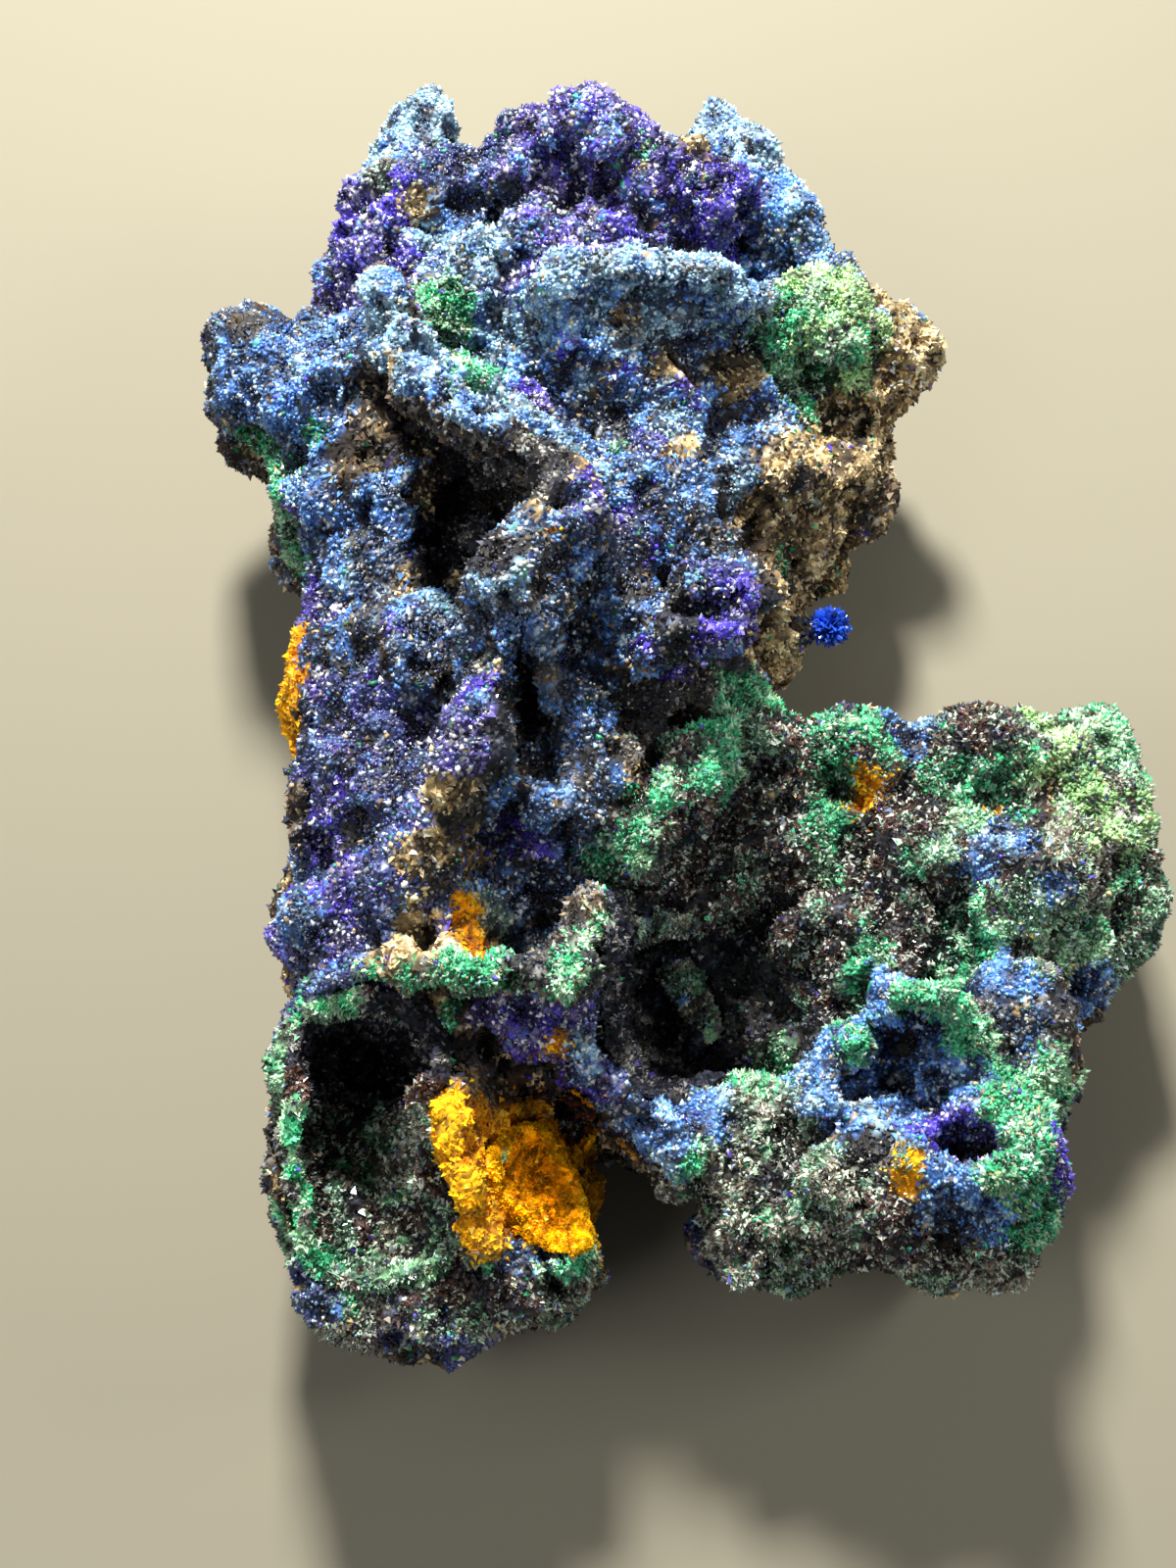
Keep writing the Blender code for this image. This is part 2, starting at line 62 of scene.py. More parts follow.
# %% Set up the camera
LOOK_AT = np.array((-7.25, -8.75, 20)) * MM
CAMERA_DISTANCE = 170 * MM
CAMERA_TILT = math.radians(15)
LENS, SENSOR = 48.0, 36.0
PHOTO_WIDTH, PHOTO_HEIGHT = 1200, 1600

eye = LOOK_AT + CAMERA_DISTANCE * np.array((0, -math.sin(CAMERA_TILT), math.cos(CAMERA_TILT)))
camera = bpy.data.objects.new("camera", bpy.data.cameras.new("camera"))
camera.data.lens = LENS
camera.data.sensor_width = SENSOR
camera.data.clip_start = 10 * MM
camera.location = eye
camera.rotation_euler = (CAMERA_TILT, 0, 0)
bpy.context.scene.collection.objects.link(camera)
bpy.context.scene.camera = camera
print("camera at", np.round(eye / MM, 1), "mm")

# %% [markdown]
# Every form here is held as arrays: corners, one row each, and faces, rows of corner numbers. Whole
# arrays are worked on at once, which is fast enough for a million faces, where a loop is not.

# %% Helpers for forms held as arrays
def unit(vectors):
    """Each row divided by its length."""
    return vectors / np.maximum(np.linalg.norm(vectors, axis=1, keepdims=True), 1e-12)


def face_normals(corners, faces):
    """Cross product of each face's two diagonals or sides; its length is about twice the face's area."""
    a, b, c, d = (corners[faces[:, i]] for i in (0, 1, 2, -1))
    return np.cross(c - a, d - b) if faces.shape[1] == 4 else np.cross(b - a, c - a)


def add_up(rows, index, count):
    """Sum the rows that share an index, one total for each of count places."""
    return np.stack([np.bincount(index, rows[:, i], count) for i in range(rows.shape[1])], axis=1)


def corner_normals(corners, faces):
    """Sum of the normals of the faces round each corner, made one long."""
    rows = np.repeat(face_normals(corners, faces), faces.shape[1], axis=0)
    return unit(add_up(rows, faces.ravel(), len(corners)))


def neighbour_pairs(faces):
    """Each face's sides as pairs of corner numbers, both ways round."""
    ahead = np.stack([faces.ravel(), np.roll(faces, -1, axis=1).ravel()], axis=1)
    return np.concatenate([ahead, ahead[:, ::-1]])


def smoothed(corners, pairs, rounds, share=0.5):
    """Move each corner part of the way to the mean of its neighbours, again and again."""
    count = np.bincount(pairs[:, 0], minlength=len(corners))[:, None]
    for _ in range(rounds):
        mean = add_up(corners[pairs[:, 1]], pairs[:, 0], len(corners)) / count
        corners = corners + (mean - corners) * share
    return corners


def smooth_step(low, high, x):
    """0 below low, 1 above high, and 3t² - 2t³ between."""
    t = np.clip((x - low) / (high - low), 0, 1)
    return t * t * (3 - 2 * t)


print("a smooth step at a quarter and a half:", smooth_step(0, 1, np.array((0.25, 0.5))))

# %% [markdown]
# Rock is rough at every size. Noise gives that: random values on a lattice, blended between. A second
# kind measures how far the nearest of many scattered points is, which gives rounded knobs with
# sharp creases between them, like the clusters that azurite grows in. A Displace modifier could push the
# surface about as well, but the same noise is read again for the colours.

# %% Noise worked out for whole arrays
def lattice_value(cells, seed):
    """A repeatable value from 0 to 1 for each lattice cell, from its three whole numbers."""
    n = (cells @ np.array((374761393, 668265263, 971541889)) + seed * 1274126177) & 0xFFFFFFFF
    n = ((n ^ (n >> 13)) * 1274126177) & 0xFFFFFFFF
    return ((n ^ (n >> 16)) & 0xFFFF) / 0xFFFF


def turned(points, seed):
    """The points turned about a slanted axis, so that no lattice lines up with the object."""
    a, b = 0.7 + seed, 0.4 + 1.7 * seed
    about_z = np.array(((math.cos(a), -math.sin(a), 0), (math.sin(a), math.cos(a), 0), (0, 0, 1)))
    about_x = np.array(((1, 0, 0), (0, math.cos(b), -math.sin(b)), (0, math.sin(b), math.cos(b))))
    return points @ about_z @ about_x


def noise(points, size, seed=0):
    """Smooth noise from -1 to 1: values on a lattice of that size in mm, blended by 3t² - 2t³."""
    q = turned(points, seed) / (size * MM)
    cell = np.floor(q).astype(np.int64)
    t = q - cell
    t = t * t * (3 - 2 * t)
    total = np.zeros(len(points))
    for corner in np.ndindex(2, 2, 2):
        weight = np.prod(np.where(corner, t, 1 - t), axis=1)
        total += weight * lattice_value(cell + corner, seed)
    return total * 2 - 1


def knobs(points, size, seed=0):
    """Round knobs, 1 at the top and 0 in the creases between: 1 - d², where d is the distance to the
    nearest scattered point, one to a lattice cell, as a share of the size."""
    q = turned(points, seed) / (size * MM)
    cell = np.floor(q - 0.5).astype(np.int64)
    nearest = np.full(len(points), np.inf)
    for corner in np.ndindex(2, 2, 2):
        home = cell + corner
        spot = home + 0.1 + 0.8 * np.stack([lattice_value(home, seed + k) for k in (11, 23, 37)], axis=1)
        nearest = np.minimum(nearest, np.sum((q - spot) ** 2, axis=1))
    return 1 - np.minimum(nearest, 1)


def noise_vectors(points, size, seed=0):
    """Three noises side by side, to push points about."""
    return np.stack([noise(points, size, seed + k) for k in (101, 202, 303)], axis=1)


row_of_spots = np.arange(1000)[:, None] * np.array((0.5, 0, 0)) * MM
print("noise along half a metre spans", np.round(np.ptp(noise(row_of_spots, 4)), 2), "of at most 2")

# %% [markdown]
# A mineral isn't one colour. In its recesses it is dark, which is painted shade; on open faces it has its
# body colour; its ridges and dust are paler, the ridges partly as painted highlight. Some grains flash
# almost white, as painted glints. Each zone below is one such set, with its gloss, so that the skin and
# the loose crystals take their colours from the same place. Each mineral could be a material of its own,
# but then they would meet in hard edges along the faces.

# %% Name the minerals and their colours
# zone: recess (painted shade), body, ridge (partly painted highlight) and fleck (painted glint) colour,
# share of flecks, roughness
MINERALS = {
    "ultramarine": ((0.006, 0.003, 0.04), (0.046, 0.023, 0.36), (0.12, 0.09, 0.66),
                    (0.70, 0.68, 0.92), 0.10, 0.24),
    "violet": ((0.014, 0.009, 0.055), (0.07, 0.054, 0.25), (0.22, 0.19, 0.52),
               (0.88, 0.88, 0.92), 0.20, 0.24),
    "indigo": ((0.002, 0.003, 0.012), (0.030, 0.040, 0.155), (0.10, 0.13, 0.34),
               (0.62, 0.70, 0.84), 0.07, 0.28),
    "navy": ((0.003, 0.004, 0.010), (0.028, 0.050, 0.118), (0.10, 0.17, 0.31),
             (0.60, 0.68, 0.76), 0.09, 0.30),
    "cornflower": ((0.008, 0.016, 0.05), (0.075, 0.21, 0.60), (0.20, 0.44, 0.90),
                   (0.70, 0.82, 0.92), 0.09, 0.36),
    "powder": ((0.024, 0.048, 0.078), (0.25, 0.46, 0.63), (0.50, 0.74, 0.88),
               (0.86, 0.92, 0.94), 0.11, 0.42),
    "grey green": ((0.024, 0.04, 0.035), (0.21, 0.315, 0.273), (0.525, 0.665, 0.578),
                   (0.77, 0.792, 0.682), 0.14, 0.55),
    "malachite": ((0.004, 0.025, 0.012), (0.03, 0.33, 0.14), (0.10, 0.62, 0.30),
                  (0.50, 0.88, 0.62), 0.06, 0.35),
    "pale green": ((0.02, 0.06, 0.03), (0.26, 0.56, 0.30), (0.50, 0.80, 0.50),
                   (0.78, 0.92, 0.70), 0.09, 0.45),
    "yellow green": ((0.03, 0.07, 0.02), (0.29, 0.58, 0.21), (0.55, 0.84, 0.38),
                     (0.80, 0.94, 0.56), 0.08, 0.45),
    "druse": ((0.004, 0.002, 0.002), (0.054, 0.026, 0.021), (0.15, 0.082, 0.066),
              (0.62, 0.66, 0.56), 0.25, 0.22),
    "green druse": ((0.003, 0.006, 0.003), (0.046, 0.095, 0.059), (0.14, 0.298, 0.193),
                    (0.495, 0.682, 0.528), 0.29, 0.25),
    "speckled": ((0.008, 0.006, 0.005), (0.13, 0.104, 0.078), (0.36, 0.32, 0.25),
                 (0.72, 0.82, 0.66), 0.30, 0.40),
    "umber": ((0.005, 0.005, 0.005), (0.067, 0.061, 0.057), (0.21, 0.201, 0.184),
              (0.495, 0.495, 0.462), 0.12, 0.55),
    "cream": ((0.12, 0.06, 0.02), (0.72, 0.51, 0.23), (0.95, 0.81, 0.50),
              (0.96, 0.90, 0.72), 0.12, 0.65),
    "buff": ((0.014, 0.010, 0.006), (0.31, 0.21, 0.095), (0.74, 0.57, 0.30),
             (0.86, 0.73, 0.46), 0.16, 0.65),
    "brown": ((0.005, 0.003, 0.003), (0.067, 0.044, 0.027), (0.193, 0.131, 0.079),
              (0.44, 0.352, 0.242), 0.12, 0.70),
    # Black: mostly painted shade for clefts and hollows, with some dark mineral.
    "black and shade": ((0.002, 0.002, 0.002), (0.008, 0.008, 0.015), (0.032, 0.035, 0.06),
              (0.132, 0.154, 0.22), 0.06, 0.50),
    "ochre": ((0.42, 0.12, 0.001), (0.97, 0.41, 0.003), (1.0, 0.54, 0.006),
              (1.0, 0.68, 0.08), 0.06, 0.95),
}
COMPANIONS = {
    "ultramarine": ("violet", "indigo"), "violet": ("navy", "ultramarine"), "indigo": ("navy", "violet"),
    "navy": ("umber", "cornflower"), "cornflower": ("navy", "powder"), "powder": ("cornflower", "navy"),
    "grey green": ("umber", "pale green"), "malachite": ("green druse", "pale green"),
    "pale green": ("malachite", "umber"), "yellow green": ("pale green", "umber"),
    "druse": ("black and shade", "green druse"), "green druse": ("druse", "pale green"), "umber": ("black and shade", "brown"),
    "speckled": ("green druse", "umber"),
    "cream": ("buff", "brown"), "buff": ("brown", "cream"), "brown": ("black and shade", "buff"),
    "black and shade": ("black and shade", "umber"), "ochre": ("ochre", "ochre"),
}
ZONES = list(MINERALS)


def zone_numbers(names):
    """Where each named zone stands in the list of zones."""
    return np.array([ZONES.index(name) for name in names])


companions = np.array([zone_numbers(COMPANIONS[zone]) for zone in ZONES])
palette = np.array([[*row[:4]] for row in MINERALS.values()])
# Share of each zone's grains that take the fleck colour, a painted glint
glint_share = np.array([row[4] for row in MINERALS.values()])
zone_roughness = np.array([row[5] for row in MINERALS.values()])
print(len(ZONES), "mineral zones")

# %% [markdown]
# The mineral map says what grows where. Each patch is a place in the photograph's frame and a reach in
# millimetres. A ray from the camera through that place finds the spot on the lump, and the patch is then
# a ball round that spot, so it also colours the flanks beside it. The patches could be drawn on
# an unwrapped surface instead, but this rock has no useful seams.

# %% Lay out the mineral map
# zone: patches as across, down (pixels of the photograph) and reach (mm)
MINERAL_MAP = {
    "ultramarine": (
        (395, 205, 2.2), (415, 272, 2), (690, 195, 3.4), (730, 190, 3), (700, 230, 3), (650, 225, 2.8),
        (322, 845, 2.3), (760, 205, 2.6), (540, 210, 2.6), (560, 238, 2.4), (365, 230, 2.4),
        (355, 258, 2.2), (380, 205, 2), (583, 357, 1.6), (623, 384, 1.5), (693, 392, 1.5),
        (552, 410, 1.4), (592, 494, 1.5), (636, 524, 1.5), (667, 564, 1.4), (728, 648, 1.6),
        (689, 683, 1.6), (517, 648, 1.3), (566, 577, 1.3), (320, 818, 2), (346, 808, 2), (334, 876, 2),
        (545, 862, 1.8), (510, 690, 1.6), (767, 605, 2), (690, 685, 1.6), (400, 640, 1.2),
        (450, 938, 1), (1092, 1190, 1.6), (300, 520, 1.2), (545, 1075, 1.6), (600, 1112, 1.4),
        (985, 1145, 2.2), (1020, 1160, 1.8), (960, 1135, 1.8), (405, 700, 1.4), (430, 745, 1.6),
        (360, 760, 1.4),
    ),
    "violet": (
        (590, 110, 4), (550, 150, 5), (605, 185, 5.5), (560, 230, 4.5), (645, 200, 4), (640, 130, 4),
        (700, 180, 3), (375, 240, 3), (335, 290, 3), (610, 515, 2.4), (725, 612, 1.8), (655, 662, 1.8),
        (720, 663, 1.8), (318, 720, 2.4), (325, 690, 2), (330, 900, 2.4), (345, 940, 2), (310, 990, 2),
        (505, 845, 2), (580, 1035, 2.2), (540, 1045, 2), (965, 1152, 1.8), (475, 745, 1.8),
        (490, 715, 1.6), (310, 630, 2.4), (335, 620, 2.2), (948, 1128, 1.8),
    ),
    "indigo": (
        (345, 720, 4.2), (330, 750, 3.8), (390, 715, 4), (380, 770, 4.2), (430, 760, 3.6),
        (410, 810, 3.6), (370, 905, 4), (446, 915, 1.6), (310, 790, 3), (390, 850, 3), (315, 1325, 2),
        (340, 1000, 3), (320, 660, 2.6), (455, 1366, 1.8), (495, 1362, 1.6), (660, 450, 2),
        (470, 170, 3), (500, 150, 3), (412, 1366, 1.6), (620, 1082, 2.2), (330, 970, 3),
        (380, 950, 2.4), (655, 545, 1.9), (735, 585, 1.8),
    ),
    "navy": (
        (220, 345, 2.4), (236, 428, 2.2), (300, 312, 3), (560, 560, 3.4), (605, 560, 2.6),
        (570, 610, 4.5), (540, 645, 4), (595, 655, 3), (560, 700, 3.4), (440, 700, 4), (420, 680, 4),
        (600, 690, 4), (570, 760, 4), (560, 810, 4), (600, 800, 3.6), (640, 560, 2.4), (690, 560, 2.4),
        (735, 560, 2.2), (680, 600, 2.2), (640, 615, 2.2), (440, 655, 3.4), (550, 940, 3),
        (540, 905, 2.6), (580, 845, 2.6), (380, 590, 3), (520, 200, 2.4), (610, 770, 2.4),
        (600, 440, 3), (355, 660, 2.6), (480, 640, 3), (420, 640, 3), (1040, 1050, 2.6),
    ),
    "cornflower": (
        (320, 350, 3.4), (352, 340, 2.6), (802, 190, 3.2), (808, 238, 2.8), (470, 215, 2.6),
        (580, 310, 1.8), (640, 300, 1.6), (700, 305, 1.8), (740, 350, 2), (590, 590, 2.6),
        (612, 645, 2.6), (575, 545, 2), (600, 715, 2.2), (640, 400, 1.8), (730, 410, 2),
        (497, 850, 1.4), (505, 875, 1.2), (275, 362, 3.4), (255, 390, 3.4), (292, 402, 3.6),
        (325, 385, 3.2), (720, 445, 2.6), (770, 435, 2.6), (706, 489, 2.2), (640, 490, 2),
        (654, 406, 1.8), (706, 357, 1.8), (610, 463, 1.8), (706, 564, 1.5), (706, 608, 1.3),
        (400, 505, 2.4), (610, 725, 2), (552, 775, 2), (515, 805, 1.8), (1015, 848, 2.2),
        (1005, 892, 1.6), (1082, 904, 1.8), (1126, 998, 2), (945, 752, 1.4), (898, 1010, 2.4),
        (1035, 992, 1.8), (850, 1100, 3.4), (890, 1102, 3.8), (932, 1106, 3.6), (975, 1100, 3),
        (835, 1095, 2.2), (915, 1125, 2.6), (860, 1126, 2.8), (895, 1140, 2.2), (935, 1138, 2),
        (975, 1222, 2.2), (1002, 1240, 2), (560, 1270, 1.6), (535, 1275, 1.4), (655, 1150, 2.2),
        (600, 1085, 1.8), (680, 1172, 2.2), (742, 1150, 1.6), (320, 520, 2.6), (340, 585, 2.4),
        (300, 950, 2), (310, 905, 1.8), (500, 900, 1.6), (560, 400, 2.6), (917, 743, 1),
    ),
    "powder": (
        (735, 118, 3.2), (772, 150, 3), (425, 130, 3.2), (402, 160, 2.4), (448, 246, 3),
        (500, 240, 2.6), (560, 292, 3.6), (600, 278, 3.4), (650, 280, 3.4), (700, 278, 3.6),
        (745, 285, 3.6), (780, 302, 3), (404, 386, 1.5), (425, 378, 1.4), (446, 376, 1.5),
        (460, 388, 1.4), (475, 400, 1.5), (495, 405, 1.5), (515, 414, 1.5), (540, 428, 1.5),
        (565, 444, 1.5), (592, 462, 1.5), (560, 335, 2.6), (520, 352, 2.4), (610, 345, 2.4),
        (680, 322, 2.6), (740, 325, 2.4), (522, 546, 1.6), (500, 604, 1.6), (605, 604, 1.5),
        (742, 490, 1.8), (480, 905, 1.4), (590, 395, 2), (680, 415, 2), (905, 325, 1.3),
        (925, 322, 1.2), (370, 580, 2), (460, 612, 2.2), (390, 350, 2.6), (545, 560, 1.8),
        (530, 600, 1.6), (600, 1068, 1.6), (555, 965, 2), (510, 830, 1.4),
    ),
    "grey green": (
        (384, 186, 1.8), (815, 1100, 2), (510, 940, 1.6), (795, 1135, 2), (770, 1150, 1.6),
    ),
    "speckled": (
        (790, 1150, 2.4), (760, 1180, 2.6), (740, 1235, 3.4), (782, 1282, 3.4), (830, 1200, 2.4),
        (850, 1240, 2.6), (815, 1160, 2), (880, 1215, 2), (960, 1320, 3), (1090, 870, 2.6),
        (1060, 950, 2.4), (1120, 900, 2.4), (1150, 930, 2.6), (1060, 815, 1.6), (1100, 840, 1.6),
        (1140, 800, 1.6), (1010, 1300, 2.4), (380, 1345, 2.4), (350, 1358, 2.2), (435, 1345, 2.2),
        (480, 1340, 2.4), (530, 1338, 2.2), (570, 1325, 2),
    ),
    "malachite": (
        (655, 153, 1.8), (426, 308, 1.7), (460, 320, 1.5), (478, 380, 1.6), (466, 392, 1.2),
        (254, 442, 1.6), (272, 465, 1.5), (288, 512, 1.7), (305, 555, 1.2), (752, 337, 1.4),
        (640, 450, 1.2), (820, 378, 2.4), (872, 350, 2), (800, 330, 2.4), (740, 722, 2.2),
        (755, 702, 1.8), (722, 742, 1.8), (690, 762, 1.6), (735, 775, 1.6), (748, 800, 1.6),
        (668, 830, 1.8), (640, 862, 1.8), (625, 870, 1.6), (715, 800, 1.4), (826, 838, 2),
        (848, 772, 1.6), (845, 800, 1.4), (840, 865, 1.4), (885, 745, 1.6), (905, 760, 1.6),
        (965, 795, 1.8), (990, 792, 1.8), (1015, 790, 1.8), (930, 885, 1.4), (862, 900, 1.6),
        (888, 962, 1.8), (995, 955, 1.8), (970, 750, 1), (860, 1050, 1.8), (875, 1070, 1.8),
        (925, 1005, 1.8), (945, 1030, 1.8), (965, 990, 2.2), (985, 1020, 2.2), (998, 1050, 2.2),
        (1010, 1085, 2), (1030, 1110, 2), (1050, 1115, 2), (870, 1010, 1.4), (420, 995, 1.2),
        (470, 986, 1.4), (500, 975, 1.4), (520, 1002, 1.2), (572, 1008, 1.4), (715, 1192, 1.6),
        (345, 1285, 1.5), (361, 1326, 1.5), (768, 1192, 1.1), (800, 1180, 1.1), (772, 1240, 1.1),
        (1050, 1190, 1.8), (1050, 1250, 1.8), (585, 1290, 1.4), (505, 1292, 1.4), (325, 1020, 1.4),
        (375, 995, 1.4), (790, 560, 1.2), (320, 430, 1.2), (605, 925, 1.2),
    ),
    "pale green": (
        (1132, 760, 2.8), (1070, 1090, 2.2), (1092, 1130, 2.2), (607, 900, 1.1), (605, 960, 1.2),
        (1150, 905, 2.6), (1020, 925, 1.8), (990, 805, 2), (1035, 812, 2.2), (1000, 838, 1.8),
        (1055, 780, 2), (1120, 945, 2.6), (1022, 1130, 1.6), (290, 1065, 1.3), (287, 1110, 1.3),
        (288, 1160, 1.3), (298, 1215, 1.3), (307, 1260, 1.3), (598, 1000, 1.4), (302, 575, 1.2),
        (800, 1090, 1.8), (792, 1118, 1.8), (760, 745, 1.2), (690, 790, 1), (560, 1290, 1.2),
    ),
    "yellow green": (
        (832, 300, 2.8), (862, 325, 3), (890, 332, 2.2), (830, 350, 2.4), (1070, 760, 2.6),
        (1112, 812, 3.2), (1090, 772, 2.8), (1142, 852, 3), (1050, 800, 2), (885, 380, 2.2),
        (852, 815, 1.2),
    ),
    "druse": (
        (700, 840, 3), (752, 825, 3.2), (790, 812, 3), (742, 872, 4), (840, 930, 3.6), (800, 950, 4),
        (782, 890, 3.6), (880, 880, 3), (760, 925, 3), (905, 915, 3), (840, 1010, 3), (935, 975, 2.4),
        (1000, 742, 2.4), (975, 765, 2), (1025, 752, 2.2), (930, 832, 2.8), (862, 1292, 3),
        (932, 1282, 3.4), (982, 1288, 3), (902, 1240, 2.6), (450, 1320, 3.6), (522, 1315, 3),
        (400, 1335, 2.6), (1080, 1150, 2), (970, 900, 2.2), (700, 770, 1.8),
    ),
    "green druse": (
        (1060, 935, 2.8), (1042, 905, 2.4), (1150, 955, 2.8), (1190, 905, 2.6), (840, 880, 2),
        (762, 780, 2), (830, 1030, 2), (950, 1322, 2.4), (820, 1302, 2.6), (820, 1222, 2.2),
        (560, 1320, 2), (960, 870, 1.8), (900, 775, 1.4), (1090, 960, 2.2),
    ),
    "umber": (
        # The first nine patches darken the fin's overhanging front face: painted shade.
        (405, 415, 1.8), (430, 424, 2), (460, 440, 2.2), (490, 452, 2.2), (520, 464, 2.2),
        (550, 478, 2.2), (575, 492, 1.8), (540, 495, 2.2), (500, 495, 2), (300, 325, 1.6),
        (250, 335, 1.6), (885, 765, 1.6), (1060, 872, 2), (1095, 878, 2), (1040, 890, 2),
        (690, 715, 2.4), (650, 760, 2.4), (640, 700, 2), (595, 912, 1.8), (630, 840, 1.6),
        (276, 1180, 2.8), (1080, 1040, 2.4), (535, 985, 1.8), (480, 820, 1.6), (1070, 825, 1.8),
    ),
    "cream": (
        (925, 328, 2.6), (942, 350, 2.8), (915, 372, 2.4), (900, 398, 2), (905, 425, 1.6),
        (885, 472, 1.6), (862, 522, 1.6), (800, 640, 1.4), (845, 562, 1.8), (785, 695, 2),
        (782, 645, 1.5), (462, 814, 1.4), (478, 882, 1.5), (414, 882, 1.5), (434, 870, 1.4),
        (562, 515, 1.1), (425, 606, 1.1), (656, 262, 1.2), (405, 925, 1.8), (424, 935, 1.5),
        (430, 200, 1.4), (635, 326, 1.1), (759, 392, 1.2), (724, 450, 1.4), (693, 467, 1.4),
        (566, 544, 1.1), (555, 595, 1.1), (508, 670, 1.1), (636, 670, 1), (596, 639, 1), (420, 590, 1),
        (1082, 998, 1.1), (903, 1083, 0.8), (505, 950, 1.1), (400, 380, 1), (500, 660, 0.9),
        (455, 590, 0.9),
    ),
    "buff": (
        (705, 140, 1.8), (690, 375, 1.8), (740, 385, 2), (620, 385, 1.4), (755, 420, 2.2),
        (560, 375, 1), (600, 410, 1), (540, 330, 0.9), (890, 430, 3.2), (872, 482, 3.2),
        (850, 532, 3.2), (840, 582, 2.8), (815, 625, 2.6), (800, 462, 2.6), (795, 525, 2.8),
        (600, 480, 1.2), (412, 950, 2.2), (404, 968, 2.2), (1080, 812, 1.6), (650, 800, 1.2),
        (290, 1000, 2), (620, 745, 1.2),
    ),
    "brown": (
        (376, 392, 1.8), (386, 425, 2.2), (378, 455, 2.2), (400, 450, 1.6), (360, 478, 1.6),
        (430, 508, 1.4), (882, 520, 2.2), (822, 492, 2.2), (298, 812, 1.8), (296, 842, 1.9),
        (610, 1142, 2), (632, 1172, 2), (440, 205, 1.4), (428, 978, 1.2), (465, 850, 1.6),
        # The first three patches on the next line are the arch's painted shadow at the top of the ochre
        # chamber.
        (490, 1085, 1.6), (480, 1105, 1.3), (520, 1098, 2), (278, 1215, 1.8), (1100, 1080, 1.8),
        (300, 740, 1.2),
    ),
    # Black patches are painted shade in clefts, hollows and deep recesses, with some dark mineral.
    "black and shade": (
        (470, 545, 3), (512, 555, 2.4), (440, 575, 2), (670, 715, 2.8), (700, 640, 2), (772, 572, 1.8),
        (890, 1156, 1.4), (1010, 1182, 1.8), (786, 1205, 1.9), (515, 187, 1.4), (1080, 1022, 1.6),
        (660, 1000, 4), (700, 1080, 4), (620, 960, 2.4), (800, 1010, 2.6), (830, 1045, 2.4),
        (740, 985, 2.6), (745, 1190, 1.6), (530, 720, 3.2), (560, 735, 2.6), (510, 745, 2),
        (640, 725, 1.8), (600, 780, 2.4), (486, 546, 2), (733, 502, 1.5), (764, 564, 1.6),
        (698, 617, 1.7), (649, 604, 1.5), (658, 718, 2), (535, 696, 2), (733, 674, 1.6),
        (605, 1000, 2.2), (612, 1040, 2.4), (632, 1075, 2.2), (880, 455, 1.2), (868, 500, 1.2),
        (845, 540, 1.2), (445, 905, 1.6), (346, 846, 1.7), (630, 770, 1.1), (930, 1052, 1.7),
        (862, 960, 1), (480, 860, 1), (600, 600, 1.2), (1050, 885, 1.2), (455, 840, 0.9),
    ),
    "ochre": (
        (302, 650, 2), (298, 690, 2.2), (294, 730, 2.4), (478, 948, 1.6), (478, 930, 1.2),
        (568, 546, 0.8), (880, 790, 1.1), (872, 812, 1.2), (895, 798, 1), (572, 1056, 1.1),
        (926, 1206, 1.2), (1082, 940, 0.7), (482, 1130, 1.2), (470, 1150, 1.3), (474, 1180, 1.4),
        (478, 1210, 1.4), (486, 1240, 1.4), (504, 1262, 1.4), (530, 1255, 1.4), (500, 1200, 2),
        (520, 1150, 1.6), (600, 1215, 1.6), (606, 1245, 1.4), (580, 1240, 1.6), (638, 1180, 1.2),
        (504, 886, 0.9), (1008, 829, 0.7), (320, 680, 0.6), (922, 1078, 0.7),
    ),
}
BACK_ZONES = ("brown", "buff", "brown", "navy", "brown", "indigo", "brown", "malachite")
print(sum(len(spots) for spots in MINERAL_MAP.values()), "patches on the map")


# %% Find each patch's spot on the lump
def tree_of(node):
    """The named solid's faces as a search tree, for rays and for the nearest point."""
    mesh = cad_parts[node].data
    corners = [corner.co.copy() for corner in mesh.vertices]
    return BVHTree.FromPolygons(corners, [list(face.vertices) for face in mesh.polygons])


def photo_ray(across, down):
    """Direction from the camera through a pixel: right and up by the lens, then tilted as the camera is."""
    right = (across - PHOTO_WIDTH / 2) / PHOTO_HEIGHT * SENSOR / LENS
    up = (PHOTO_HEIGHT / 2 - down) / PHOTO_HEIGHT * SENSOR / LENS
    c, s = math.cos(CAMERA_TILT), math.sin(CAMERA_TILT)
    return Vector((right, up * c + s, up * s - c)).normalized()


def spots_on(tree, patches):
    """Places, reaches and zone numbers of the patches whose rays meet the surface."""
    found = []
    for zone, spots in patches.items():
        for across, down, reach in spots:
            place = tree.ray_cast(Vector(eye), photo_ray(across, down))[0]
            if place:
                found.append((*place, reach * MM, ZONES.index(zone)))
    return np.array(found)


lump_tree = tree_of("rock")
map_spots = spots_on(lump_tree, MINERAL_MAP)
print(len(map_spots), "patches lie on the lump")

# %% [markdown]
# A point takes the zone of the patch that is nearest, counted in reaches. Its place is pushed about by
# noise first, so that the edges of zones wander. Far from every patch, on the flanks and the back, noise
# alone picks between limonite and thin films of the other minerals.

